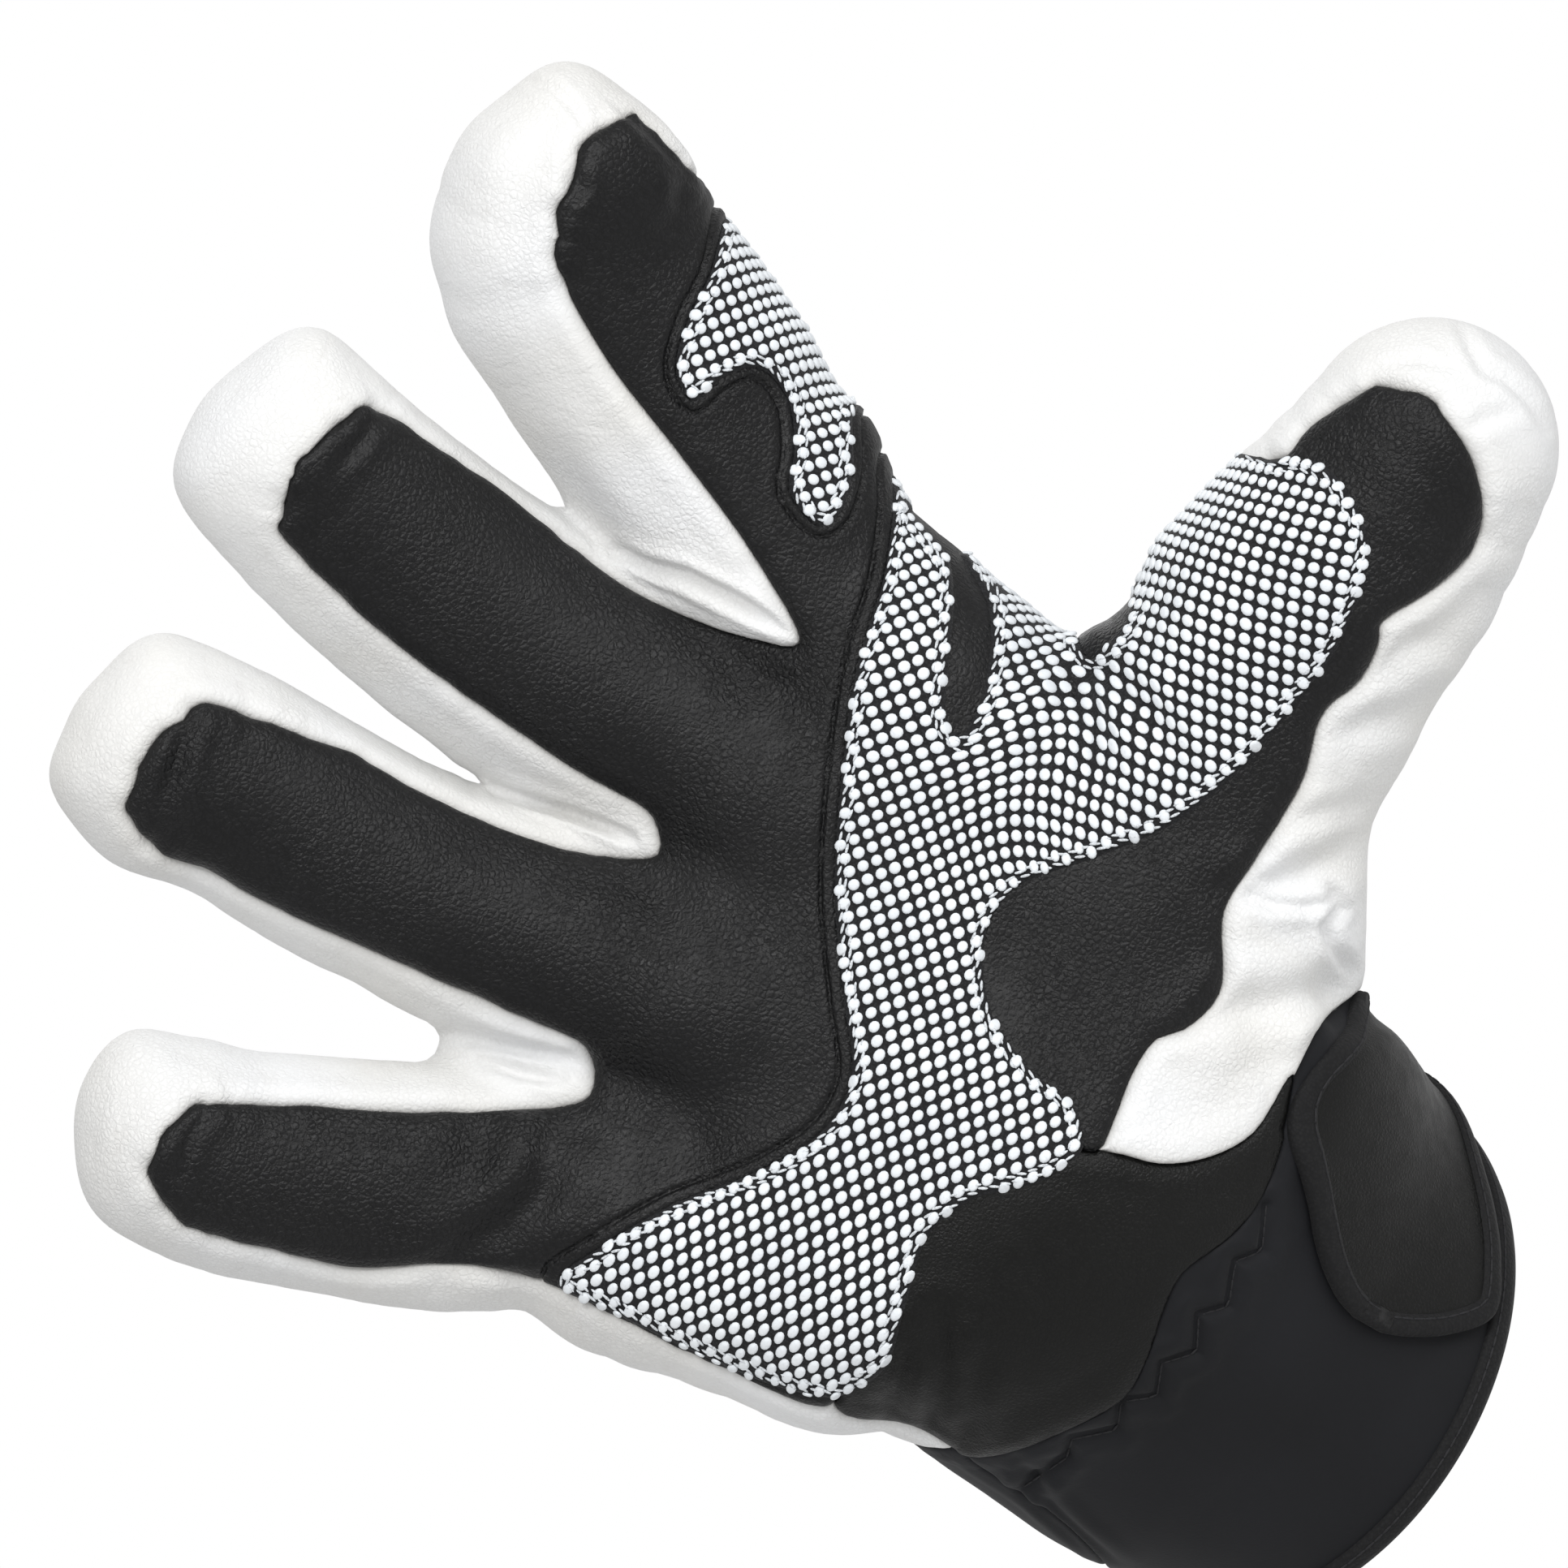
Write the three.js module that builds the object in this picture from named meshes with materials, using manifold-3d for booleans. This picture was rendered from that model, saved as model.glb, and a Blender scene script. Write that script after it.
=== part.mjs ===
// A padded ski racing glove for the right hand, shaped as it is worn: fingers up (+Z), palm
// towards -Y and thumb towards +X. The origin is the centre of the wrist opening, and the
// forearm would leave it down and backwards along CUFF_AXIS. All sizes are millimetres.
import * as THREE from "three";
import { mergeVertices } from "three/addons/utils/BufferGeometryUtils.js";
import Module from "manifold-3d";

const wasm = await Module();
wasm.setup();

// Driving dimensions
const WALL = 4; // leather, insulation and lining together
const SEAM_GAP = 0.3; // between neighbouring pieces
const GRIP_THICK = 1; // dotted grip fabric that lies on the leather
const STRAP_THICK = 2.2;
const STRAP_CLEAR = 1.2; // the strap lies this far off the cuff
const STRAP_TAPE = 3.6; // width of the tape round the strap
const BINDING_PROUD = 0.9; // hem binding beyond the wall, on both faces
const HEM_BAND = 4.6; // binding's width along the cuff
const SKIN_CELL = new THREE.Vector3(6.6, 10, 11.5); // mesh size of the outer skin
const LINING_CELL = new THREE.Vector3(12, 16, 20); // mesh size of the hollow
const FAR = 150; // half size of the cutting blocks

const CUFF_AXIS = new THREE.Vector3(0.185, 0.64, -0.745).normalize();
const CUFF_WIDE = new THREE.Vector3(0.957, 0.054, 0.285).normalize();

// Depth of the glove's middle surface: flat over the palm, running back to the hem along the
// cuff, and curling forward towards the fingertips.
const PALM_DEPTH = -42;
const CUFF_SLOPE = 0.86; // backward run for each millimetre down the cuff
const WRIST_Z = 48;
const WRIST_SOFTNESS = 14;
const CURL_START = 50; // reach from the palm's centre where the curl begins
const CURL_SPAN = 90;
const CURL_RISE = 14;
const PALM_CENTRE = { x: -8, z: 80 };

function midDepth(x, z) {
  const below = WRIST_Z - z;
  const bend = (CUFF_SLOPE / 2) * (below + Math.hypot(below, WRIST_SOFTNESS));
  const reach = Math.hypot(x - PALM_CENTRE.x, z - PALM_CENTRE.z);
  const curl = Math.max(0, reach - CURL_START) / CURL_SPAN;
  return PALM_DEPTH + bend - CURL_RISE * curl * curl * (z > 0 ? 1 : 0);
}

// Sections of each limb from its root to its tip: place across and up, how far it stands in
// front of the middle surface, half width across and half depth through.
const SECTION = ["x", "z", "fore", "wide", "deep"];
const LIMBS = {
  index: [
    [29, 112, 0, 20, 20],
    [27.9, 133, 0, 18.5, 19],
    [31.3, 153.1, 0, 20.6, 19],
    [37.7, 190.6, 0, 21, 19],
    [45.3, 200.9, 1, 18.4, 17.5],
  ],
  middle: [
    [3, 112, 0, 19, 20],
    [0.1, 133.9, 0, 18.8, 19],
    [-7.2, 157.9, 0, 19.4, 18.5],
    [-10.9, 185.2, 0, 18.8, 18],
    [-10.7, 201.4, 1, 18, 16.5],
  ],
  ring: [
    [-25, 100, 0, 18, 20],
    [-32.6, 119.9, 0, 17.7, 18.5],
    [-43.4, 142.7, 0, 17.4, 18],
    [-51.3, 171, 0, 17.3, 17.5],
    [-55.2, 182.8, 1, 17.9, 16.5],
  ],
  little: [
    [-48.6, 77.5, 0, 18.2, 19],
    [-60.5, 97.6, 0, 16.7, 18],
    [-71.9, 110, 0, 18.3, 17],
    [-89.9, 133.1, 0, 17, 16.5],
    [-94.8, 143.2, 1, 16.6, 15.5],
  ],
  thumb: [
    [28, 58, 2, 23, 20],
    [48, 68.1, 4, 22.2, 21],
    [72.4, 79.4, 6, 24.1, 21],
    [89.8, 80.6, 7, 21.9, 20],
    [108, 85, 7, 18.7, 18],
  ],
};
const PALM = {
  indexRay: [
    [18.8, 44, 2, 28.1, 24],
    [25.4, 80, 0, 27, 23],
    [26, 116, 0, 16.4, 20],
  ],
  middleRay: [
    [-2, 42, 2, 22, 25],
    [-2, 80, 0, 22, 22],
    [3, 116, 0, 18, 20],
  ],
  ringRay: [
    [-16, 42, 2, 20, 25],
    [-20, 74, 0, 22, 22],
    [-26, 102, 0, 18, 20],
  ],
  littleRay: [
    [-31.6, 42, 1, 18.9, 24],
    [-41.3, 62, 2, 22.6, 23],
    [-58, 86, 0, 17.6, 19],
  ],
};
// Webs between neighbouring fingers, from the tip of the V on the palm side up and back to
// where the fingers part.
const WEBS = {
  indexMiddle: [
    [21, 120, 6, 7, 9],
    [13.6, 156.3, -5, 6, 9],
  ],
  middleRing: [
    [-13, 113, 6, 7, 9],
    [-22.4, 138.8, -5, 6, 9],
  ],
  ringLittle: [
    [-44, 95, 6, 7, 9],
    [-54.9, 119.2, -5, 6, 9],
  ],
};
const CUFF = [
  // distance from the hem up the cuff, sideways shift, half width and half depth
  { up: 52, shift: 4.5, wide: 35, deep: 30 },
  { up: 40, shift: 2.6, wide: 38.6, deep: 32.5 },
  { up: 26, shift: 1.3, wide: 43.5, deep: 35 },
  { up: 0, shift: 0, wide: 40.5, deep: 39.5 },
  { up: -22, shift: 0, wide: 40, deep: 39.5 },
];
const BLEND = { palm: 16, cuff: 16, thumb: 14, knuckle: 4, web: 5 }; // fillets between limbs

// Pattern pieces, drawn from the palm side as x, z.
const INDEX_FRONT = [
  [66, 168], [61, 184], [60, 200], [54, 205], [46, 202], [40, 198], [34, 190], [31, 178],
  [29, 162], [26, 143], [21.5, 130],
];
const MIDDLE_FRONT = [
  [16, 137], [10, 155], [7, 178], [3, 199], [-4, 202], [-13, 201], [-19, 197], [-21, 191],
  [-21, 176], [-18.5, 158], [-15, 140], [-12, 127],
];
const RING_FRONT = [
  [-15, 123], [-24, 134], [-32, 152], [-36, 166], [-43, 181], [-50, 186], [-59, 187],
  [-66, 183], [-66, 173], [-61, 158], [-53, 137], [-46, 119], [-43, 110],
];
const LITTLE_FRONT = [
  [-47, 105], [-58, 113], [-72, 127], [-86, 143], [-93, 146], [-101, 143], [-103, 136],
  [-99, 124], [-90, 111], [-80, 102], [-72, 91],
];
const ULNAR_SEAM = [[-68, 80], [-62, 63], [-54, 47]];
const THENAR_SEAM = [[-2, 53], [-1, 66], [6, 79], [18, 86], [34, 92], [50, 101]];
const INDEX_SIDE = [[62, 108], [60, 126], [62, 146]];
const HEEL_TOP = [[-42, 56], [-26, 61], [-12, 58]];
const THUMB_FRONT = [
  [58, 106], [75, 110], [86, 103], [93, 99.5], [104, 98], [110, 94], [112, 86], [109, 76],
  [102, 70.5], [92, 70], [86, 71.5], [81, 69], [68, 68], [60, 63.5], [46, 60], [38, 58],
  [29, 50], [22, 50], [18, 52], [12, 51], [5, 48], [0, 46.5],
];
const THUMB_WHITE_LOW = [[2, 43], [5, 38], [11, 33.5], [18, 31.5], [28, 33.5], [36, 36.5], [52, 38]];
const HEEL_FREE_EDGE = [
  [-45, 28], [-41, 24.5], [-32, 20.5], [-23, 18], [-17, 19.5], [-10, 23], [-4, 25], [5, 23.8],
  [11, 24.2], [20, 28],
];
const GRIP_PALM = [
  [-70, 89], [-62, 88], [-50, 85], [-36, 79], [-26, 77], [-18, 79.5], [-11, 88], [0, 101],
  [15, 114], [26, 122], [37, 128], [45, 134], [52, 140], [62, 136], [62, 112], [52, 103],
  [51, 98], [58, 98], [66, 103], [76, 108], [88, 104], [94, 96], [94, 87], [89, 79],
  [81, 75], [70, 72], [55, 71], [43, 72], [30, 77], [20, 81.5], [12, 80.5], [4, 72],
  [2, 62], [2.5, 53], [-1, 48], [-8, 48.5], [-18, 54], [-26, 55], [-36, 50], [-45, 45.5],
  [-52, 47], [-57, 53], [-63, 67], [-67.5, 80],
];
const GRIP_WINDOW = [
  [50, 128], [46.6, 129], [46.4, 125], [44.5, 120.6], [40.7, 116.8], [35, 112], [30, 107.5],
  [28.7, 103.8], [33, 104.3], [40, 108.6], [45.6, 114.4], [47.6, 120], [50, 124],
];
const GRIP_INDEX = [
  [62, 184], [56, 181], [51, 178], [44, 175.5], [37, 171], [36, 166], [41, 165.5], [46, 163],
  [46, 157], [41, 150.5], [36.5, 147], [36, 140], [39, 139], [45, 142], [51, 148], [57, 152],
  [62, 158],
];
const CUFF_FRONT = [[60, -12], [40, -60], [-30, -60], [-46, -20], [-42.5, 0], [-42.5, 12]];
// White leather of each finger, from its root to beyond its tip; the lines between neighbours
// run through the open gaps.
const FINGER_BACKS = {
  index: [[80, 138], [13, 157], [11.5, 180], [10, 240], [90, 240]],
  middle: [[13, 157], [11.5, 180], [10, 240], [-40, 240], [-35, 190], [-30, 170], [-24.5, 142]],
  ring: [
    [-24.5, 142], [-30, 170], [-35, 190], [-40, 240],
    [-76, 240], [-72, 165], [-65, 140], [-57, 122],
  ],
  little: [[-57, 122], [-65, 140], [-72, 165], [-76, 240], [-135, 240], [-135, 70], [-80, 92]],
};
// Black leather of the two fingers that stand furthest from the palm's plane, from root to tip.
const FINGER_FRONTS = {
  index: [[20, 152], [90, 152], [90, 240], [20, 240]],
  ring: [[-19, 134], [-51, 118], [-62, 140], [-72, 165], [-80, 240], [-30, 240], [-27, 180], [-26, 160]],
};
// The closure strap, from its round free end on the palm side round the thumb side and across
// the back: degrees round the cuff from the thumb side towards the palm, and how far up the
// cuff its lower and upper edges run.
const STRAP = [
  { angle: 79, low: 23, high: 28.5 },
  { angle: 77, low: 18.5, high: 33 },
  { angle: 72, low: 11.5, high: 38.5 },
  { angle: 64, low: 5.4, high: 43.5 },
  { angle: 52, low: 5.6, high: 50.5 },
  { angle: 41, low: 7, high: 52 },
  { angle: 27, low: 8.5, high: 43 },
  { angle: 4, low: 8, high: 36.5 },
  { angle: -25, low: 6.4, high: 36 },
  { angle: -60, low: 5.4, high: 36.5 },
  { angle: -100, low: 5.2, high: 37 },
  { angle: -138, low: 5.2, high: 37 },
];
const STRAP_STEPS = 2; // smooth stations put between two rows
const STRAP_ROWS = 2; // cells across the strap
const ARC_PER_DEGREE = 0.72; // length round the cuff for one degree
const HEM_STATIONS = 18;

const COLOURS = {
  whiteLeather: { color: 0xe9eaea, roughness: 0.6 },
  blackLeather: { color: 0x252627, roughness: 0.5 },
  gripFabric: { color: 0x8f9192, roughness: 0.75 },
  softshell: { color: 0x1d2024, roughness: 0.85 },
  tape: { color: 0x242527, roughness: 0.8 },
};

// Limbs as capsule chains

function spline(a, b, c, d, t) {
  return (
    0.5 *
    (2 * b + (c - a) * t + (2 * a - 5 * b + 4 * c - d) * t * t + (3 * b - a - 3 * c + d) * t * t * t)
  );
}

// Rows of numbers with smooth rows put between them.
function smoothRows(rows, steps) {
  const made = [];
  for (let i = 0; i + 1 < rows.length; i++) {
    const [a, b, c, d] = [i - 1, i, i + 1, i + 2].map(
      (k) => rows[Math.min(rows.length - 1, Math.max(0, k))],
    );
    for (let s = 0; s < steps; s++)
      made.push(b.map((_, k) => spline(a[k], b[k], c[k], d[k], s / steps)));
  }
  made.push(rows.at(-1));
  return made;
}

const named = (row) => Object.fromEntries(SECTION.map((name, i) => [name, row[i]]));

function limbStations(rows) {
  return smoothRows(rows, 3).map((row) => {
    const s = named(row);
    const centre = new THREE.Vector3(s.x, midDepth(s.x, s.z) - s.fore, s.z);
    return { centre, wide: s.wide, deep: s.deep };
  });
}

function cuffStations() {
  return CUFF.map((s) => ({
    centre: CUFF_AXIS.clone().multiplyScalar(-s.up).addScaledVector(CUFF_WIDE, s.shift),
    wide: s.wide,
    deep: s.deep,
  }));
}

// Segments with the direction through the limb's thickness worked out from its run.
function segments(stations, across = null) {
  const made = [];
  for (let i = 0; i + 1 < stations.length; i++) {
    const a = stations[i];
    const b = stations[i + 1];
    const run = b.centre.clone().sub(a.centre);
    const length = run.length();
    run.divideScalar(length);
    const wide = across ?? new THREE.Vector3(0, 1, 0).cross(run).normalize();
    const through = run.clone().cross(wide).normalize();
    made.push({ a, b, run, length, through });
  }
  return made;
}

const offset = new THREE.Vector3();

function segmentDistance(p, s, inset) {
  offset.subVectors(p, s.a.centre);
  const t = Math.min(1, Math.max(0, offset.dot(s.run) / s.length));
  offset.addScaledVector(s.run, -t * s.length);
  const wide = s.a.wide + (s.b.wide - s.a.wide) * t - inset;
  const deep = s.a.deep + (s.b.deep - s.a.deep) * t - inset;
  const squeeze = (wide / deep) ** 2 - 1;
  const thick = offset.dot(s.through) ** 2;
  const round = offset.lengthSq();
  const reach = Math.sqrt(round + squeeze * thick);
  const steep = Math.sqrt(round + (2 * squeeze + squeeze * squeeze) * thick);
  return steep > 1e-6 ? ((reach - wide) * reach) / steep : -Math.min(wide, deep);
}

const limbDistance = (p, limb, inset) =>
  limb.reduce((least, s) => Math.min(least, segmentDistance(p, s, inset)), Infinity);

function blended(a, b, fillet) {
  const h = Math.max(0, fillet - Math.abs(a - b)) / fillet;
  return Math.min(a, b) - (h * h * fillet) / 4;
}

const palmRays = Object.values(PALM).map((rows) => segments(limbStations(rows)));
const webs = Object.values(WEBS).map((rows) => segments(limbStations(rows)));
const cuffTube = segments(cuffStations(), CUFF_WIDE);
const limbs = Object.fromEntries(
  Object.entries(LIMBS).map(([name, rows]) => [name, segments(limbStations(rows))]),
);

// Distance to the glove's outer surface drawn in by inset, negative inside.
function gloveDistance(p, inset) {
  let hand = palmRays
    .map((ray) => limbDistance(p, ray, inset))
    .reduce((a, b) => blended(a, b, BLEND.palm));
  hand = blended(hand, limbDistance(p, cuffTube, inset), BLEND.cuff);
  hand = blended(hand, limbDistance(p, limbs.thumb, inset), BLEND.thumb);
  for (const finger of ["index", "middle", "ring", "little"])
    hand = blended(hand, limbDistance(p, limbs[finger], inset), BLEND.knuckle);
  if (inset <= 0)
    for (const web of webs) hand = blended(hand, limbDistance(p, web, inset), BLEND.web);
  return hand;
}

// Surface mesh of a distance function. Each grid cell that the surface crosses holds one vertex
// for each sheet in it, pulled onto the surface, and each crossed grid edge carries a quad.
const LOW = new THREE.Vector3(-130, -108, -78);
const HIGH = new THREE.Vector3(142, 76, 238);
const AXES = [0, 1, 2];
const SQUARE = [[0, 0], [1, 0], [1, 1], [0, 1]];

// A cell's edges are numbered by their axis and their place across it.
const edgeNumber = (axis, place) => axis * 4 + place[(axis + 1) % 3] + 2 * place[(axis + 2) % 3];

function placed(axis, along, u, v) {
  const place = [0, 0, 0];
  place[axis] = along;
  place[(axis + 1) % 3] = u;
  place[(axis + 2) % 3] = v;
  return place;
}

// The twelve edges as pairs of corners, and the six faces as rings of corners and edges.
const EDGES = AXES.flatMap((axis) =>
  SQUARE.map(([u, v]) => ({
    number: edgeNumber(axis, placed(axis, 0, u, v)),
    from: placed(axis, 0, u, v),
    to: placed(axis, 1, u, v),
  })),
);
const FACES = AXES.flatMap((axis) =>
  [0, 1].map((side) => {
    const corners = SQUARE.map(([u, v]) => placed(axis, side, u, v));
    const [across, up] = [(axis + 1) % 3, (axis + 2) % 3];
    const edges = [[across, 0], [up, 1], [across, 2], [up, 3]].map(([along, k]) => {
      const place = [...corners[k]];
      const next = corners[(k + 1) % 4];
      place[along] = Math.min(place[along], next[along]);
      return edgeNumber(along, place);
    });
    return { corners, edges };
  }),
);

// Joins the crossed edges of a cell into sheets. Where a face is crossed four times, the sheets
// close round its inner corners.
function sheetsOf(inside) {
  const sheet = Array.from({ length: 12 }, (_, i) => i);
  const root = (i) => (sheet[i] === i ? i : root(sheet[i]));
  for (const { corners, edges } of FACES) {
    const within = corners.map((c) => inside(c));
    const crossed = edges.filter((_, k) => within[k] !== within[(k + 1) % 4]);
    if (crossed.length === 2) sheet[root(crossed[0])] = root(crossed[1]);
    if (crossed.length === 4)
      within.forEach((is, k) => {
        if (is) sheet[root(edges[k])] = root(edges[(k + 3) % 4]);
      });
  }
  return EDGES.map(({ number }) => [number, root(number)]);
}

function surfaceMesh(distance, cell) {
  const size = HIGH.clone().sub(LOW).divide(cell).ceil();
  const [nx, ny, nz] = [size.x + 1, size.y + 1, size.z + 1];
  const at = (i, j, k) => (k * ny + j) * nx + i;
  const value = new Float64Array(nx * ny * nz);
  const p = new THREE.Vector3();
  for (let k = 0; k < nz; k++)
    for (let j = 0; j < ny; j++)
      for (let i = 0; i < nx; i++) {
        p.set(i, j, k).multiply(cell).add(LOW);
        value[at(i, j, k)] = distance(p);
      }
  const vertexOf = new Map();
  const vertices = [];
  for (let k = 0; k + 1 < nz; k++)
    for (let j = 0; j + 1 < ny; j++)
      for (let i = 0; i + 1 < nx; i++) {
        const valueAt = ([a, b, c]) => value[at(i + a, j + b, k + c)];
        const crossings = EDGES.filter(({ from, to }) => valueAt(from) < 0 !== valueAt(to) < 0);
        if (!crossings.length) continue;
        const sheets = new Map(sheetsOf((corner) => valueAt(corner) < 0));
        const sums = new Map();
        for (const { number, from, to } of crossings) {
          const t = valueAt(from) / (valueAt(from) - valueAt(to));
          const point = new THREE.Vector3(i, j, k).add(
            new THREE.Vector3(...from).lerp(new THREE.Vector3(...to), t),
          );
          const key = sheets.get(number);
          if (!sums.has(key)) sums.set(key, { total: new THREE.Vector3(), count: 0, edges: [] });
          const sum = sums.get(key);
          sum.total.add(point);
          sum.count++;
          sum.edges.push(number);
        }
        for (const { total, count, edges } of sums.values()) {
          for (const number of edges) vertexOf.set(at(i, j, k) * 12 + number, vertices.length);
          const middle = total.divideScalar(count).multiply(cell).add(LOW);
          vertices.push(pulledOnto(distance, middle, cell.x * PULL_LIMIT));
        }
      }
  const triangles = [];
  for (let k = 1; k + 1 < nz; k++)
    for (let j = 1; j + 1 < ny; j++)
      for (let i = 1; i + 1 < nx; i++)
        for (const axis of AXES) {
          const [di, dj, dk] = placed(axis, 1, 0, 0);
          const within = value[at(i, j, k)] < 0;
          if (within === value[at(i + di, j + dj, k + dk)] < 0) continue;
          const quad = SQUARE.map(([u, v]) => {
            const [a, b, c] = placed(axis, 0, u, v);
            return vertexOf.get(at(i - a, j - b, k - c) * 12 + edgeNumber(axis, [a, b, c]));
          });
          if (!within) quad.reverse();
          addQuad(triangles, vertices, quad);
        }
  return { vertices, triangles };
}

const PULL_LIMIT = 0.7; // share of a cell's width that a vertex may be pulled

const PROBE_STEP = 0.05;

function slopeAt(distance, point, probe) {
  const here = distance(point);
  const slope = new THREE.Vector3();
  for (const axis of ["x", "y", "z"]) {
    probe.copy(point)[axis] += PROBE_STEP;
    slope[axis] = (distance(probe) - here) / PROBE_STEP;
  }
  return slope;
}

function pulledOnto(distance, start, limit) {
  const point = start.clone();
  const probe = new THREE.Vector3();
  for (let pass = 0; pass < 3; pass++) {
    const slope = slopeAt(distance, point, probe);
    point.addScaledVector(slope, -distance(point) / Math.max(0.5, slope.lengthSq()));
  }
  return start.add(point.sub(start).clampLength(0, limit));
}

// Two triangles split along the shorter diagonal.
function addQuad(triangles, vertices, [a, b, c, d]) {
  const first = vertices[a].distanceToSquared(vertices[c]);
  const second = vertices[b].distanceToSquared(vertices[d]);
  if (first <= second) triangles.push(a, b, c, a, c, d);
  else triangles.push(a, b, d, b, c, d);
}

function solidOfMesh({ vertices, triangles }) {
  const vertProperties = new Float32Array(vertices.flatMap((v) => [v.x, v.y, v.z]));
  const triVerts = new Uint32Array(triangles);
  return new wasm.Manifold(new wasm.Mesh({ numProp: 3, vertProperties, triVerts }));
}

function solidOf(geometry) {
  const bare = geometry.index ? geometry.toNonIndexed() : geometry.clone();
  bare.deleteAttribute("normal");
  bare.deleteAttribute("uv");
  const merged = mergeVertices(bare, 1e-4);
  return new wasm.Manifold(
    new wasm.Mesh({
      numProp: 3,
      vertProperties: merged.attributes.position.array,
      triVerts: new Uint32Array(merged.index.array),
    }),
  );
}

// Pattern outlines as prisms along Y

// A closed smooth outline through the given points.
function outline(points, perSpan = 1) {
  const ring = points.map(([x, z]) => new THREE.Vector3(x, z, 0));
  const curve = new THREE.CatmullRomCurve3(ring, true, "centripetal");
  return curve.getPoints(points.length * perSpan).slice(0, -1).map((v) => [v.x, v.y]);
}

// The outline moved outwards by a distance, or inwards where it is negative.
function grown(ring, distance) {
  const area = ring.reduce((sum, [x, z], i) => {
    const [nextX, nextZ] = ring[(i + 1) % ring.length];
    return sum + x * nextZ - nextX * z;
  }, 0);
  const side = Math.sign(area) * distance;
  return ring.map(([x, z], i) => {
    const [ax, az] = ring[(i + ring.length - 1) % ring.length];
    const [bx, bz] = ring[(i + 1) % ring.length];
    const length = Math.hypot(bx - ax, bz - az);
    return [x + (side * (bz - az)) / length, z - (side * (bx - ax)) / length];
  });
}

function prism(ring) {
  const shape = new THREE.Shape(ring.map(([x, z]) => new THREE.Vector2(x, z)));
  const geometry = new THREE.ExtrudeGeometry(shape, { depth: 2 * FAR, bevelEnabled: false });
  geometry.rotateX(Math.PI / 2);
  geometry.translate(0, FAR, 0);
  return solidOf(geometry);
}

// Everything in front of the middle surface moved back by a distance.
function frontBlock(back) {
  const columns = 8;
  const rows = 12;
  const [left, right, low, high] = [-140, 150, -70, 250];
  const vertices = [];
  for (const floor of [false, true])
    for (let r = 0; r <= rows; r++)
      for (let c = 0; c <= columns; c++) {
        const x = left + ((right - left) * c) / columns;
        const z = low + ((high - low) * r) / rows;
        vertices.push(new THREE.Vector3(x, floor ? -FAR : midDepth(x, z) + back, z));
      }
  const layer = (rows + 1) * (columns + 1);
  const at = (r, c, floor) => (floor ? layer : 0) + r * (columns + 1) + c;
  const triangles = [];
  const quad = (a, b, c, d) => triangles.push(a, b, c, a, c, d);
  for (let r = 0; r < rows; r++)
    for (let c = 0; c < columns; c++) {
      quad(at(r, c, false), at(r + 1, c, false), at(r + 1, c + 1, false), at(r, c + 1, false));
      quad(at(r, c, true), at(r, c + 1, true), at(r + 1, c + 1, true), at(r + 1, c, true));
    }
  for (let c = 0; c < columns; c++) {
    quad(at(0, c, true), at(0, c, false), at(0, c + 1, false), at(0, c + 1, true));
    quad(at(rows, c, false), at(rows, c, true), at(rows, c + 1, true), at(rows, c + 1, false));
  }
  for (let r = 0; r < rows; r++) {
    quad(at(r, 0, false), at(r, 0, true), at(r + 1, 0, true), at(r + 1, 0, false));
    quad(at(r, columns, true), at(r, columns, false), at(r + 1, columns, false), at(r + 1, columns, true));
  }
  return solidOfMesh({ vertices, triangles });
}

// A slab square to the cuff, between two distances from the hem up the cuff.
function cuffSlab(from, to) {
  const geometry = new THREE.BoxGeometry(2 * FAR, 2 * FAR, to - from);
  const frame = new THREE.Matrix4().makeBasis(
    CUFF_WIDE,
    new THREE.Vector3().crossVectors(CUFF_AXIS, CUFF_WIDE),
    CUFF_AXIS,
  );
  frame.setPosition(CUFF_AXIS.clone().multiplyScalar(-(from + to) / 2));
  geometry.applyMatrix4(frame);
  return solidOf(geometry);
}

// Everything below the sloping line where the back's leather meets the cuff.
const BACK_SEAM = { y: -30, z: 37, slope: 0.5 };

function belowWrist(raise) {
  const thick = 200;
  const geometry = new THREE.BoxGeometry(2 * FAR, 2 * FAR, thick);
  geometry.translate(0, 0, -thick / 2);
  geometry.rotateX(Math.atan(BACK_SEAM.slope));
  geometry.translate(0, BACK_SEAM.y, BACK_SEAM.z + raise);
  return solidOf(geometry);
}

// Closed solid from a grid of points on its outer face and the same grid on its inner face.
function sheetSolid(outerRows, innerRows) {
  const rows = outerRows.length;
  const columns = outerRows[0].length;
  const vertices = [...outerRows.flat(), ...innerRows.flat()];
  const at = (r, c, inner) => (inner ? rows * columns : 0) + r * columns + c;
  const triangles = [];
  const quad = (a, b, c, d) => triangles.push(a, b, c, a, c, d);
  for (let r = 0; r + 1 < rows; r++)
    for (let c = 0; c + 1 < columns; c++) {
      quad(at(r, c, false), at(r, c + 1, false), at(r + 1, c + 1, false), at(r + 1, c, false));
      quad(at(r, c, true), at(r + 1, c, true), at(r + 1, c + 1, true), at(r, c + 1, true));
    }
  const wall = (a, b) => quad(at(...b, false), at(...a, false), at(...a, true), at(...b, true));
  for (let c = 0; c + 1 < columns; c++) {
    wall([0, c], [0, c + 1]);
    wall([rows - 1, c + 1], [rows - 1, c]);
  }
  for (let r = 0; r + 1 < rows; r++) {
    wall([r, columns - 1], [r + 1, columns - 1]);
    wall([r + 1, 0], [r, 0]);
  }
  return facingOut({ vertices, triangles });
}

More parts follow.
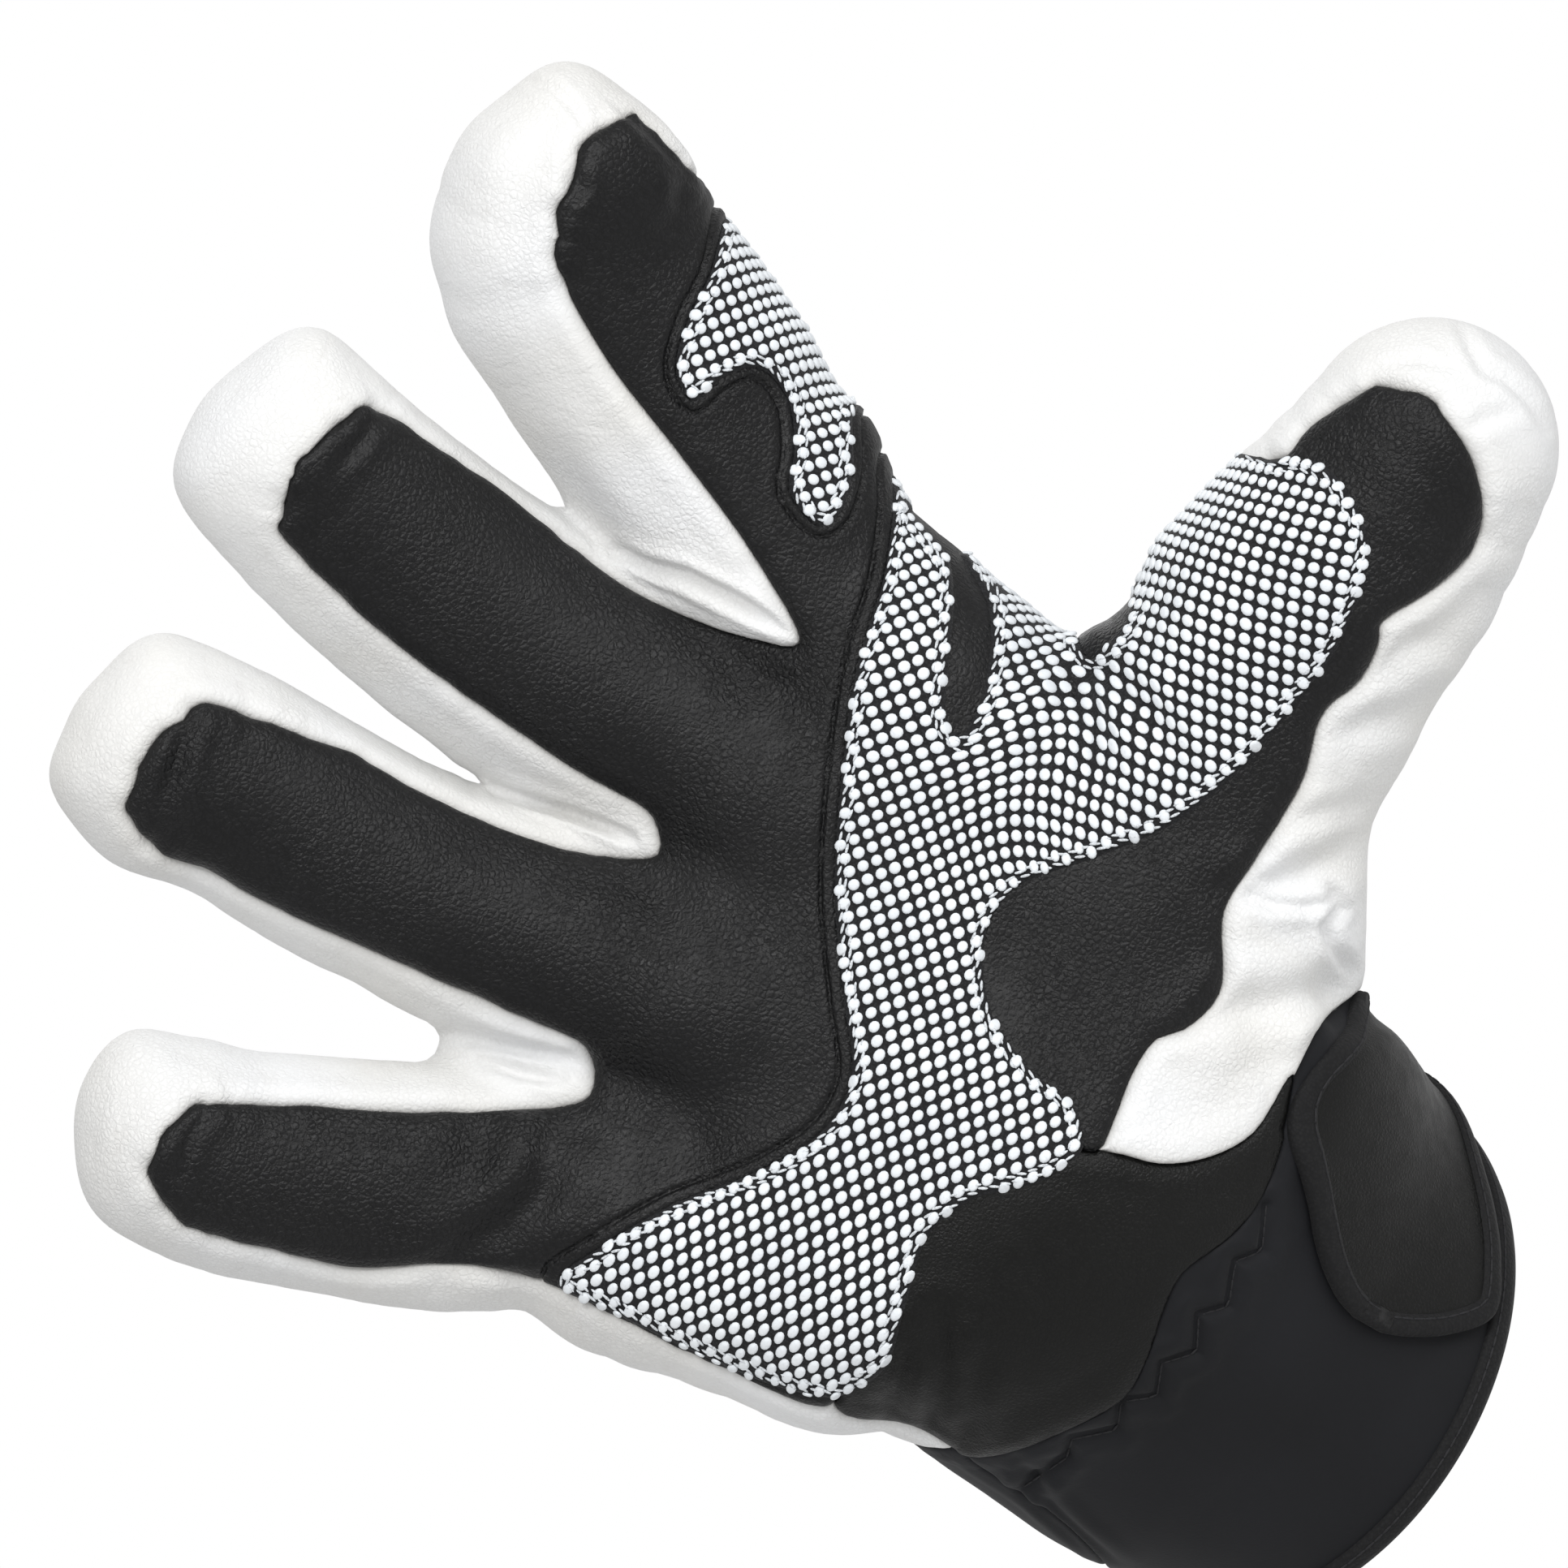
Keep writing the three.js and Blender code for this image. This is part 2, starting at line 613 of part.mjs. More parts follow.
// Closed ring swept through sections that each have the same number of points.
function ringSolid(sections) {
  const around = sections[0].length;
  const vertices = sections.flat();
  const at = (s, k) => (s % sections.length) * around + (k % around);
  const triangles = [];
  for (let s = 0; s < sections.length; s++)
    for (let k = 0; k < around; k++) {
      triangles.push(at(s, k), at(s, k + 1), at(s + 1, k + 1));
      triangles.push(at(s, k), at(s + 1, k + 1), at(s + 1, k));
    }
  return facingOut({ vertices, triangles });
}

function facingOut(mesh) {
  const volume = mesh.triangles.reduce((sum, index, i, all) => {
    if (i % 3) return sum;
    const [a, b, c] = [index, all[i + 1], all[i + 2]].map((k) => mesh.vertices[k]);
    return sum + a.dot(b.clone().cross(c));
  }, 0);
  return solidOfMesh(volume > 0 ? mesh : { ...mesh, triangles: mesh.triangles.toReversed() });
}

// The cuff by the angle round it and the distance up it

const CUFF_PALM = new THREE.Vector3().crossVectors(CUFF_AXIS, CUFF_WIDE);

// The point on the cuff's outer surface at an angle and a height, moved outwards.
function cuffPoint(degrees, up, out) {
  const angle = THREE.MathUtils.degToRad(degrees);
  const towards = CUFF_WIDE.clone().multiplyScalar(Math.cos(angle));
  towards.addScaledVector(CUFF_PALM, Math.sin(angle));
  const centre = CUFF_AXIS.clone().multiplyScalar(-up);
  const point = new THREE.Vector3();
  let [near, far] = [20, 80];
  while (far - near > 0.01) {
    const middle = (near + far) / 2;
    point.copy(centre).addScaledVector(towards, middle);
    if (gloveDistance(point, 0) < 0) near = middle;
    else far = middle;
  }
  return centre.addScaledVector(towards, near + out);
}

// Half of the binding's section: outwards from the wall's outer face, and up from the hem.
const HEM_SECTION = [
  [BINDING_PROUD, 1], [BINDING_PROUD, HEM_BAND], [-WALL - BINDING_PROUD, HEM_BAND],
  [-WALL - BINDING_PROUD, 1], [-WALL, 0], [0, 0],
];

function hemBindingSolid() {
  const sections = Array.from({ length: HEM_STATIONS }, (_, i) =>
    HEM_SECTION.map(([out, up]) => cuffPoint((360 * i) / HEM_STATIONS, up, out)),
  );
  return ringSolid(sections);
}

// The strap's edge as a closed loop of arc length and height, drawn in by a distance. Its first
// half runs along the lower edge and its second half back along the upper one.
function strapLoop(inset) {
  const rows = smoothRows(STRAP.map((s) => [s.angle * ARC_PER_DEGREE, s.low, s.high]), STRAP_STEPS);
  const lower = rows.map(([arc, low]) => [arc, low]);
  const upper = rows.map(([arc, , high]) => [arc, high]);
  return grown([...lower, ...upper.toReversed()], -inset);
}

const strapPoint = ([arc, up], out) => cuffPoint(arc / ARC_PER_DEGREE, up, STRAP_CLEAR + out);

function strapFace(loop) {
  const half = loop.length / 2;
  const stations = Array.from({ length: half }, (_, i) => {
    const [low, high] = [loop[i], loop[loop.length - 1 - i]];
    return Array.from({ length: STRAP_ROWS + 1 }, (_, k) =>
      low.map((value, n) => value + ((high[n] - value) * k) / STRAP_ROWS),
    );
  });
  const face = (out) => stations.map((row) => row.map((place) => strapPoint(place, out)));
  return sheetSolid(face(STRAP_THICK), face(0));
}

function strapTape(edge, inside) {
  return ringSolid(
    edge.map((place, i) => [
      strapPoint(place, 0), strapPoint(place, STRAP_THICK),
      strapPoint(inside[i], STRAP_THICK), strapPoint(inside[i], 0),
    ]),
  );
}

// Building

const gloveOuter = (p) => gloveDistance(p, 0);
const skinMesh = surfaceMesh(gloveOuter, SKIN_CELL);

// The outer surface moved outwards by a distance, facet by facet.
function skin(grow) {
  const probe = new THREE.Vector3();
  const vertices = skinMesh.vertices.map((v) => {
    const outwards = slopeAt(gloveOuter, v, probe).normalize();
    return v.clone().addScaledVector(outwards, grow);
  });
  return solidOfMesh({ vertices, triangles: skinMesh.triangles });
}
const largest = (solid) =>
  solid.decompose().reduce((most, s) => (s.volume() > most.volume() ? s : most));

const outer = solidOfMesh(skinMesh);
const hollow = solidOfMesh(surfaceMesh((p) => gloveDistance(p, WALL), LINING_CELL));
const shell = outer.subtract(hollow).intersect(cuffSlab(HEM_BAND + SEAM_GAP, 400));

const SIDE_TUCK = 4; // front pieces wrap this far behind the middle surface
const front = frontBlock(SIDE_TUCK);
const frontWide = frontBlock(SIDE_TUCK + SEAM_GAP);
const frontShy = frontBlock(SIDE_TUCK - SEAM_GAP);

const palmRing = outline([
  ...INDEX_FRONT, ...MIDDLE_FRONT, ...RING_FRONT, ...LITTLE_FRONT,
  ...ULNAR_SEAM, ...HEEL_TOP, ...THENAR_SEAM, ...INDEX_SIDE,
]);
const thumbRing = outline([...THENAR_SEAM, ...THUMB_FRONT]);
const heelRing = outline([
  [-54, 46], ...HEEL_TOP, [-2, 52], [0, 46], ...THUMB_WHITE_LOW.slice(0, -2),
  ...HEEL_FREE_EDGE.toReversed(), [-48, 37],
]);
const cuffRing = outline([...HEEL_FREE_EDGE, [29, 33], [38, 37], [62, 38], ...CUFF_FRONT]);
const thumbWhiteRing = outline([
  [0, 46], ...THUMB_WHITE_LOW, [140, 40], [140, 112], [56, 108], [50, 101], [30, 84], [6, 66],
]);
const THUMB_BACK = [[50, 103], [58, 112], [140, 112], [140, 36], [46, 36], [36, 52], [38, 80]];

const piece = (ring, from) => from.intersect(prism(grown(ring, -SEAM_GAP / 2)));
const frontShell = shell.intersect(front);
const palmLeather = piece(palmRing, frontShell);
const thumbPanel = piece(thumbRing, frontShell);
const heelPanel = piece(heelRing, frontShell);
const cuffFront = piece(cuffRing, frontShell);

const taken = [palmRing, thumbRing, heelRing, cuffRing]
  .map((ring) => prism(grown(ring, SEAM_GAP / 2)))
  .reduce((a, b) => a.add(b))
  .intersect(frontWide);
const backAll = shell.subtract(taken);
const thumbFrontPart = prism(grown(thumbWhiteRing, -SEAM_GAP / 2)).intersect(front);
const thumbBackPart = prism(outline(THUMB_BACK)).subtract(frontShy);
const thumbRegion = thumbFrontPart.add(thumbBackPart);
const thumbRegionWide = prism(grown(thumbWhiteRing, SEAM_GAP / 2))
  .intersect(front)
  .add(prism(grown(outline(THUMB_BACK), SEAM_GAP)).subtract(frontShy));
const thumbBack = backAll.intersect(thumbRegion);
const backRest = backAll.subtract(thumbRegionWide);
const cuffBack = backRest.intersect(belowWrist(0));
const backLeather = backRest.subtract(belowWrist(SEAM_GAP));
const fingersOf = (rings, from) =>
  Object.entries(rings).map(([name, ring]) => [name, piece(ring, from)]);
const handOf = (rings, from) =>
  Object.values(rings).reduce((rest, ring) => rest.subtract(prism(grown(ring, SEAM_GAP / 2))), from);
const fingerBacks = fingersOf(FINGER_BACKS, backLeather);
const backShell = handOf(FINGER_BACKS, backLeather);
const fingerFronts = fingersOf(FINGER_FRONTS, palmLeather);
const palmPanel = handOf(FINGER_FRONTS, palmLeather);

const clearance = skin(SEAM_GAP);
const gripLayer = skin(SEAM_GAP + GRIP_THICK).subtract(clearance);
const gripFront = gripLayer.intersect(front);
const gripPalm = gripFront
  .intersect(prism(outline(GRIP_PALM)))
  .subtract(prism(outline(GRIP_WINDOW)));
const gripIndex = gripFront.intersect(prism(outline(GRIP_INDEX)));

const hemBinding = hemBindingSolid();
const strapEdge = strapLoop(0);
const wristStrap = strapFace(strapLoop(STRAP_TAPE + SEAM_GAP)).subtract(clearance);
const strapBinding = strapTape(strapEdge, strapLoop(STRAP_TAPE)).subtract(clearance);

const glove = new THREE.Group();

function addPiece(name, solid, look) {
  const mesh = largest(solid).getMesh();
  const geometry = new THREE.BufferGeometry();
  geometry.setAttribute("position", new THREE.BufferAttribute(mesh.vertProperties, 3));
  geometry.setIndex(new THREE.BufferAttribute(mesh.triVerts, 1));
  geometry.computeVertexNormals();
  const material = new THREE.MeshStandardMaterial({ ...look, metalness: 0 });
  const made = new THREE.Mesh(geometry, material);
  made.name = name;
  glove.add(made);
}

addPiece("back_shell", backShell, COLOURS.whiteLeather);
for (const [name, solid] of fingerBacks) addPiece(`${name}_back`, solid, COLOURS.whiteLeather);
addPiece("thumb_back", thumbBack, COLOURS.whiteLeather);
addPiece("palm_panel", palmPanel, COLOURS.blackLeather);
for (const [name, solid] of fingerFronts) addPiece(`${name}_front`, solid, COLOURS.blackLeather);
addPiece("thumb_panel", thumbPanel, COLOURS.blackLeather);
addPiece("heel_panel", heelPanel, COLOURS.blackLeather);
addPiece("grip_palm", gripPalm, COLOURS.gripFabric);
addPiece("grip_index", gripIndex, COLOURS.gripFabric);
addPiece("cuff_front", cuffFront, COLOURS.softshell);
addPiece("cuff_back", cuffBack, COLOURS.softshell);
addPiece("hem_binding", hemBinding, COLOURS.tape);
addPiece("wrist_strap", wristStrap, COLOURS.blackLeather);
addPiece("strap_binding", strapBinding, COLOURS.tape);

export default glove;
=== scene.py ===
"""Looks of a padded ski racing glove for the right hand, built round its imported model.

Lengths are in millimetres in the model's frame until an object is made: +Z up the fingers,
palm towards -Y, thumb towards +X, origin at the centre of the wrist opening.
"""
import math

import bpy
import numpy as np
from mathutils import Matrix, Vector
from mathutils.bvhtree import BVHTree
from mathutils.kdtree import KDTree


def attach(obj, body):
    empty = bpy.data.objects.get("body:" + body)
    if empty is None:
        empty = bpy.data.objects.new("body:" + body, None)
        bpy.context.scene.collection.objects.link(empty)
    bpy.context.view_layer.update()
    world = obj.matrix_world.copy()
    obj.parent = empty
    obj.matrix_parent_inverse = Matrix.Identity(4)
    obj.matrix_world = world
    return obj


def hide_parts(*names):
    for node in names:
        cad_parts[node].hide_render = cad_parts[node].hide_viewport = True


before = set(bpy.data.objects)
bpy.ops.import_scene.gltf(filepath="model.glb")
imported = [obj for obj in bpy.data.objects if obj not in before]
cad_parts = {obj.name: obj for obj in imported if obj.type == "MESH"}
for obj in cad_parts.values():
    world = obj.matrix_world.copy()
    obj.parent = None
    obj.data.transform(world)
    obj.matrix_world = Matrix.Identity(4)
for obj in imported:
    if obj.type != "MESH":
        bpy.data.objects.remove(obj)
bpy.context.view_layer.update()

MM = 0.001

# Form of the hand, as in the model
WALL = 4.0
HEM_BAND = 4.6
SIDE_TUCK = 4.0
STRAP_CLEAR = 0.6
STRAP_TAPE = 3.6
ARC_PER_DEGREE = 0.72
PALM_DEPTH = -42.0
CUFF_SLOPE = 0.86
WRIST_Z = 48.0
WRIST_SOFTNESS = 14.0
CURL_START = 50.0
CURL_SPAN = 90.0
CURL_RISE = 14.0
PALM_CENTRE = (-8.0, 80.0)
BLEND = {"palm": 16, "cuff": 16, "thumb": 14, "knuckle": 4, "web": 5}
BACK_SEAM = {"y": -30.0, "z": 37.0, "slope": 0.5}
CUFF_AXIS = np.array([0.185, 0.64, -0.745]) / np.linalg.norm([0.185, 0.64, -0.745])
CUFF_WIDE = np.array([0.957, 0.054, 0.285]) / np.linalg.norm([0.957, 0.054, 0.285])
CUFF_PALM = np.cross(CUFF_AXIS, CUFF_WIDE)
LOW = np.array([-130.0, -108.0, -78.0])
HIGH = np.array([142.0, 76.0, 238.0])

# Sections of each limb from its root to its tip: x, z, how far it stands in front of the
# middle surface, half width across and half depth through.
LIMBS = {
    "index": [
        (29, 112, 0, 20, 20), (27.9, 133, 0, 18.5, 19), (31.3, 153.1, 0, 20.6, 19),
        (37.7, 190.6, 0, 21, 19), (45.3, 200.9, 1, 18.4, 17.5),
    ],
    "middle": [
        (3, 112, 0, 19, 20), (0.1, 133.9, 0, 18.8, 19), (-7.2, 157.9, 0, 19.4, 18.5),
        (-10.9, 185.2, 0, 18.8, 18), (-10.7, 201.4, 1, 18, 16.5),
    ],
    "ring": [
        (-25, 100, 0, 18, 20), (-32.6, 119.9, 0, 17.7, 18.5), (-43.4, 142.7, 0, 17.4, 18),
        (-51.3, 171, 0, 17.3, 17.5), (-55.2, 182.8, 1, 17.9, 16.5),
    ],
    "little": [
        (-48.6, 77.5, 0, 18.2, 19), (-60.5, 97.6, 0, 16.7, 18), (-71.9, 110, 0, 18.3, 17),
        (-89.9, 133.1, 0, 17, 16.5), (-94.8, 143.2, 1, 16.6, 15.5),
    ],
    "thumb": [
        (28, 58, 2, 23, 20), (48, 68.1, 4, 22.2, 21), (72.4, 79.4, 6, 24.1, 21),
        (89.8, 80.6, 7, 21.9, 20), (108, 85, 7, 18.7, 18),
    ],
}
PALM = {
    "index_ray": [(18.8, 44, 2, 28.1, 24), (25.4, 80, 0, 27, 23), (26, 116, 0, 16.4, 20)],
    "middle_ray": [(-2, 42, 2, 22, 25), (-2, 80, 0, 22, 22), (3, 116, 0, 18, 20)],
    "ring_ray": [(-16, 42, 2, 20, 25), (-20, 74, 0, 22, 22), (-26, 102, 0, 18, 20)],
    "little_ray": [(-31.6, 42, 1, 18.9, 24), (-41.3, 62, 2, 22.6, 23), (-58, 86, 0, 17.6, 19)],
}
WEBS = [
    [(21, 120, 6, 7, 9), (13.6, 156.3, -5, 6, 9)],
    [(-13, 113, 6, 7, 9), (-22.4, 138.8, -5, 6, 9)],
    [(-44, 95, 6, 7, 9), (-54.9, 119.2, -5, 6, 9)],
]
# Cuff: distance from the hem up the cuff, sideways shift, half width and half depth
CUFF = [
    (52, 4.5, 35, 30), (40, 2.6, 38.6, 32.5), (26, 1.3, 43.5, 35), (0, 0, 40.5, 39.5),
    (-22, 0, 40, 39.5),
]

# The view from the palm: one of its 1932 steps in mm, and how its steps turn into x and z
STEP = 0.084853
STEP_ORIGIN = (66.5, 3309.3)


def seen(*places):
    """Model x and z of places in the view, given as steps right and down."""
    return [
        ((right - down + STEP_ORIGIN[0]) * STEP, (STEP_ORIGIN[1] - right - down) * STEP)
        for right, down in places
    ]


# Pattern pieces, drawn from the palm side as x, z
INDEX_FRONT = [(66, 168)] + seen(
    (905, 235), (868, 222), (855, 211), (840, 194), (822, 178), (812, 165), (800, 157),
    (790, 148), (784, 141), (778, 142), (772, 148), (757, 154), (742, 160), (728, 171),
    (719, 180), (714, 190), (712, 205), (708, 224), (700, 242), (690, 256), (686, 266),
    (688, 282), (690, 296), (686, 302), (684, 318), (688, 334), (697, 350), (703, 368),
) + [(31, 178), (29, 162), (26, 143), (21.5, 130)]
MIDDLE_FRONT = [(16, 137), (10, 155), (7, 178)] + seen(
    (560, 563), (530, 543), (500, 520), (480, 507), (466, 501), (455, 499), (445, 503),
    (436, 512), (420, 524), (408, 534), (395, 548), (384, 560), (373, 567), (367, 576),
    (365, 588), (360, 594), (357, 610), (352, 628), (350, 641), (344, 651), (345, 658),
    (352, 668), (364, 682), (382, 702), (402, 720),
) + [(-21, 176), (-18.5, 158), (-15, 140), (-12, 127)]
RING_FRONT = [(-15, 123), (-24, 134), (-32, 152), (-36, 166)] + seen(
    (380, 905), (345, 892), (318, 882), (297, 874), (275, 867), (258, 864), (248, 866),
    (240, 870), (234, 879), (230, 886), (215, 894), (203, 901), (195, 910), (187, 921),
    (180, 934), (172, 946), (170, 960), (166, 972), (160, 984), (156, 994), (156, 1001),
    (163, 1012), (170, 1024), (182, 1038), (198, 1050), (220, 1062), (250, 1073),
) + [(-61, 158), (-53, 137), (-46, 119), (-43, 110)]
LITTLE_FRONT = [(-47, 105), (-58, 113), (-72, 127)] + seen(
    (400, 1359), (360, 1357), (320, 1356), (290, 1357), (268, 1357), (262, 1358), (254, 1355),
    (246, 1356), (238, 1361), (228, 1371), (218, 1381), (208, 1389), (200, 1401), (196, 1414),
    (190, 1428), (183, 1441), (183, 1448), (190, 1460), (198, 1473), (207, 1488), (218, 1500),
    (230, 1511), (245, 1515), (262, 1523), (285, 1529), (320, 1537), (360, 1547),
) + [(-90, 111), (-80, 102), (-72, 91)]
ULNAR_SEAM = [(-68, 80), (-62, 63), (-54, 47)]
THENAR_SEAM = [(-2, 53), (-1, 66), (6, 79), (18, 86), (34, 92), (50, 101)]
INDEX_SIDE = [(62, 108), (60, 126), (62, 146)]
HEEL_TOP = [(-42, 56), (-26, 61), (-12, 58)]
THUMB_FRONT = [(58, 106), (75, 110)] + seen(
    (1500, 570), (1535, 577), (1560, 570), (1582, 563), (1592, 552), (1600, 541), (1612, 528),
    (1625, 517), (1645, 503), (1660, 494), (1675, 487), (1690, 478), (1705, 480), (1722, 485),
    (1740, 488), (1752, 493), (1762, 500), (1768, 512), (1778, 525), (1788, 538), (1795, 548),
    (1805, 565), (1812, 582), (1816, 600), (1820, 620), (1821, 640), (1818, 660), (1812, 675),
    (1805, 687), (1792, 702), (1778, 713), (1755, 730), (1730, 745), (1710, 757), (1697, 767),
    (1693, 775), (1693, 790), (1689, 805), (1682, 822), (1672, 837), (1655, 852), (1640, 862),
) + [
    (68, 68), (60, 63.5), (46, 60), (38, 58), (29, 50), (22, 50), (18, 52), (12, 51), (5, 48),
    (0, 46.5),
]
THUMB_WHITE_LOW = [
    (2, 43), (5, 38), (11, 33.5), (18, 31.5), (28, 33.5), (36, 36), (44, 35), (54, 34.5),
]
HEEL_FREE_EDGE = [
    (-45, 28), (-41, 24.5), (-32, 20.5), (-23, 18), (-17, 19.5), (-10, 23), (-4, 25),
    (5, 23.8), (11, 24.2), (20, 28),
]
GRIP_PALM = [
    (-70, 89), (-62, 88), (-50, 85), (-36, 79), (-26, 77), (-18, 79.5), (-11, 88), (0, 101),
    (15, 114), (26, 122), (37, 128), (45, 134), (52, 140), (62, 136), (62, 112), (52, 103),
    (51, 98), (58, 98), (66, 103), (76, 108),
] + seen(
    (1527, 556), (1560, 568), (1592, 563), (1612, 567), (1630, 577), (1650, 598), (1665, 622),
    (1676, 648), (1683, 676), (1681, 700), (1672, 732), (1658, 770), (1640, 806), (1620, 836),
    (1600, 860),
) + [
    (55, 71), (43, 72), (30, 77), (20, 81.5), (12, 80.5), (4, 72), (2, 62), (2.5, 53),
    (-1, 48), (-8, 48.5), (-18, 54), (-26, 55), (-36, 50), (-45, 45.5), (-52, 47), (-57, 53),
    (-63, 67), (-67.5, 80),
]
GRIP_WINDOW = seen(
    (1175, 650), (1118, 632), (1130, 650), (1150, 665), (1162, 680), (1170, 695), (1173, 715),
    (1173, 760), (1169, 800), (1165, 845), (1164, 875), (1170, 898), (1180, 908), (1190, 900),
    (1200, 880), (1210, 852), (1217, 815), (1220, 775), (1216, 745), (1205, 722), (1192, 700),
    (1182, 684), (1192, 672),
)
GRIP_INDEX = [
    (62, 184), (56, 181), (51, 178), (44, 175.5), (37, 171), (36, 166), (41, 165.5),
    (46, 163), (46, 157), (41, 150.5), (36.5, 147), (36, 140), (39, 139), (45, 142),
    (51, 148), (57, 152), (62, 158),
]
CUFF_FRONT = [(60, -12), (40, -60), (-30, -60), (-46, -20), (-42.5, 0), (-42.5, 12)]
THUMB_BACK = [(50, 103), (58, 112), (140, 112), (140, 34), (46, 34), (36, 52), (38, 80)]
# Closure strap: degrees round the cuff, and how far up it the lower and upper edges run
STRAP = [
    (79, 23, 28.5), (77, 18.5, 33), (72, 11.5, 38.5), (64, 5.4, 44.5), (52, 5.6, 53.5),
    (41, 7, 54.5), (27, 8.5, 46.5), (4, 8, 38), (-25, 6.4, 36), (-60, 5.4, 36.5),
    (-100, 5.2, 37), (-138, 5.2, 37),
]

# How far the padding stands out past the limbs' round sections, or sinks below them, where
# the outline shows it: steps right and down in the view, then mm
PADDING = [
    (1101, 1765, -1.4), (1010, 1765, 0.9), (880, 1715, -0.6), (747, 1671, 0.4), (388, 1589, -0.5),
    (91, 1418, -1.1), (91, 1374, -0.8), (128, 1289, 0.9), (169, 1265, 1.1), (217, 1271, -0.8),
    (264, 1279, -0.8), (440, 1215, -0.7), (236, 1099, -0.8), (80, 999, 0.4), (63, 956, 1.2),
    (76, 911, -0.3), (95, 868, -0.8), (125, 832, -1.0), (160, 797, 0.3), (204, 781, 1.0),
    (249, 792, -0.3), (217, 586, 0.9), (226, 541, -0.2), (246, 499, -0.9), (277, 463, -1.2),
    (312, 433, -0.6), (351, 407, 1.2), (394, 403, 1.7), (434, 429, -0.1), (471, 462, -0.9),
    (508, 495, -0.6), (600, 475, -0.3), (627, 514, -0.4), (541, 254, -0.3), (573, 168, -0.5),
    (606, 131, -1.0), (642, 101, -0.3), (682, 77, 1.3), (728, 81, 0.7), (768, 107, -0.9),
    (806, 137, -1.2), (839, 172, -0.4), (863, 213, 0.8), (881, 256, 0.8), (909, 294, 1.0),
    (936, 331, 1.2), (963, 370, 1.1), (990, 409, 1.0), (1011, 451, 0.2), (1038, 491, 0.2),
    (1075, 520, 2.1), (1089, 564, 1.0), (1107, 607, 0.8), (1137, 642, 1.1), (1173, 671, 1.1),
    (1208, 703, 0.4), (1244, 735, -0.1), (1283, 764, 0.9), (1355, 765, 1.0), (1391, 740, -0.6),
    (1411, 702, -1.0), (1433, 660, -0.2), (1465, 626, -0.7), (1534, 557, 0.6), (1569, 522, 0.7),
    (1689, 1008, -1.3), (1682, 1099, 0.5), (1670, 1191, -1.8), (1667, 1226, -4.4),
    (1699, 1260, -2.8), (1733, 1292, -0.4), (1765, 1325, 0.8), (1800, 1375, 0.8),
]
PADDING_REACH = 4.5
PADDING_END = 16  # beyond this a row has no say
PADDING_EASE = 0.05  # lets the lifts miss their rows a little, for a calmer outline

# Fineness of the meshes
SKIN_CELL = 1.3
LINING_CELL = 4.0
SEAM_REACH = 8.0  # how far from its edge a panel feels its seam
FLANGE = 2.4  # how deep a panel's edge turns in
RING_STEP = 1.8


# Field of the glove's outer surface

def unit(v):
    v = np.asarray(v, float)
    return v / np.maximum(np.linalg.norm(v, axis=-1, keepdims=True), 1e-12)


def mid_depth(x, z):
    """Depth of the glove's middle surface."""
    below = WRIST_Z - z
    bend = CUFF_SLOPE / 2 * (below + np.hypot(below, WRIST_SOFTNESS))
    reach = np.hypot(x - PALM_CENTRE[0], z - PALM_CENTRE[1])
    curl = np.maximum(0, reach - CURL_START) / CURL_SPAN
    return PALM_DEPTH + bend - CURL_RISE * curl * curl * (z > 0)


def smooth_rows(rows, steps):
    """Rows of numbers with smooth rows put between them."""
    rows = np.asarray(rows, float)
    last = len(rows) - 1
    made = []
    for i in range(last):
        a, b, c, d = (rows[min(last, max(0, i + k))] for k in (-1, 0, 1, 2))
        for s in range(steps):
            t = s / steps
            made.append(
                0.5 * (2 * b + (c - a) * t + (2 * a - 5 * b + 4 * c - d) * t * t
                       + (3 * b - a - 3 * c + d) * t ** 3)
            )
    made.append(rows[last])
    return np.array(made)


class Tube:
    """A chain of elliptical capsules with its distance function."""

    SKIP = 20.0  # beyond this the distance need only be a lower bound

    def __init__(self, centre, wide, deep, across=None):
        self.centre, self.wide, self.deep = centre, wide, deep
        run = np.diff(centre, axis=0)
        self.length = np.linalg.norm(run, axis=1)
        self.run = run / self.length[:, None]
        sideways = np.cross([0, 1, 0], self.run) if across is None else across
        self.through = unit(np.cross(self.run, unit(sideways)))
        size = max(wide.max(), deep.max())
        self.low = centre.min(0) - size
        self.high = centre.max(0) + size

    def distance(self, p, inset=0.0):
        away = np.linalg.norm(np.maximum(0, np.maximum(self.low - p, p - self.high)), axis=1)
        least = away + self.SKIP
        near = np.flatnonzero(away < self.SKIP)
        q = p[near]
        found = np.full(len(q), 1e9)
        for i in range(len(self.length)):
            offset = q - self.centre[i]
            t = np.clip(offset @ self.run[i] / self.length[i], 0, 1)
            offset -= self.run[i] * (t * self.length[i])[:, None]
            wide = self.wide[i] + (self.wide[i + 1] - self.wide[i]) * t - inset
            deep = self.deep[i] + (self.deep[i + 1] - self.deep[i]) * t - inset
            squeeze = (wide / deep) ** 2 - 1
            thick = (offset @ self.through[i]) ** 2
            around = np.einsum("ij,ij->i", offset, offset)
            reach = np.sqrt(around + squeeze * thick)
            steep = np.sqrt(around + (2 * squeeze + squeeze ** 2) * thick)
            d = (reach - wide) * reach / np.maximum(steep, 1e-6)
            found = np.minimum(found, np.where(steep > 1e-6, d, -np.minimum(wide, deep)))
        least[near] = found
        return least


def limb_tube(rows):
    s = smooth_rows(rows, 3)
    centre = np.stack([s[:, 0], mid_depth(s[:, 0], s[:, 1]) - s[:, 2], s[:, 1]], axis=1)
    return Tube(centre, s[:, 3], s[:, 4])


def cuff_tube():
    up, shift, wide, deep = np.array(CUFF, float).T
    return Tube(-CUFF_AXIS * up[:, None] + CUFF_WIDE * shift[:, None], wide, deep, CUFF_WIDE)


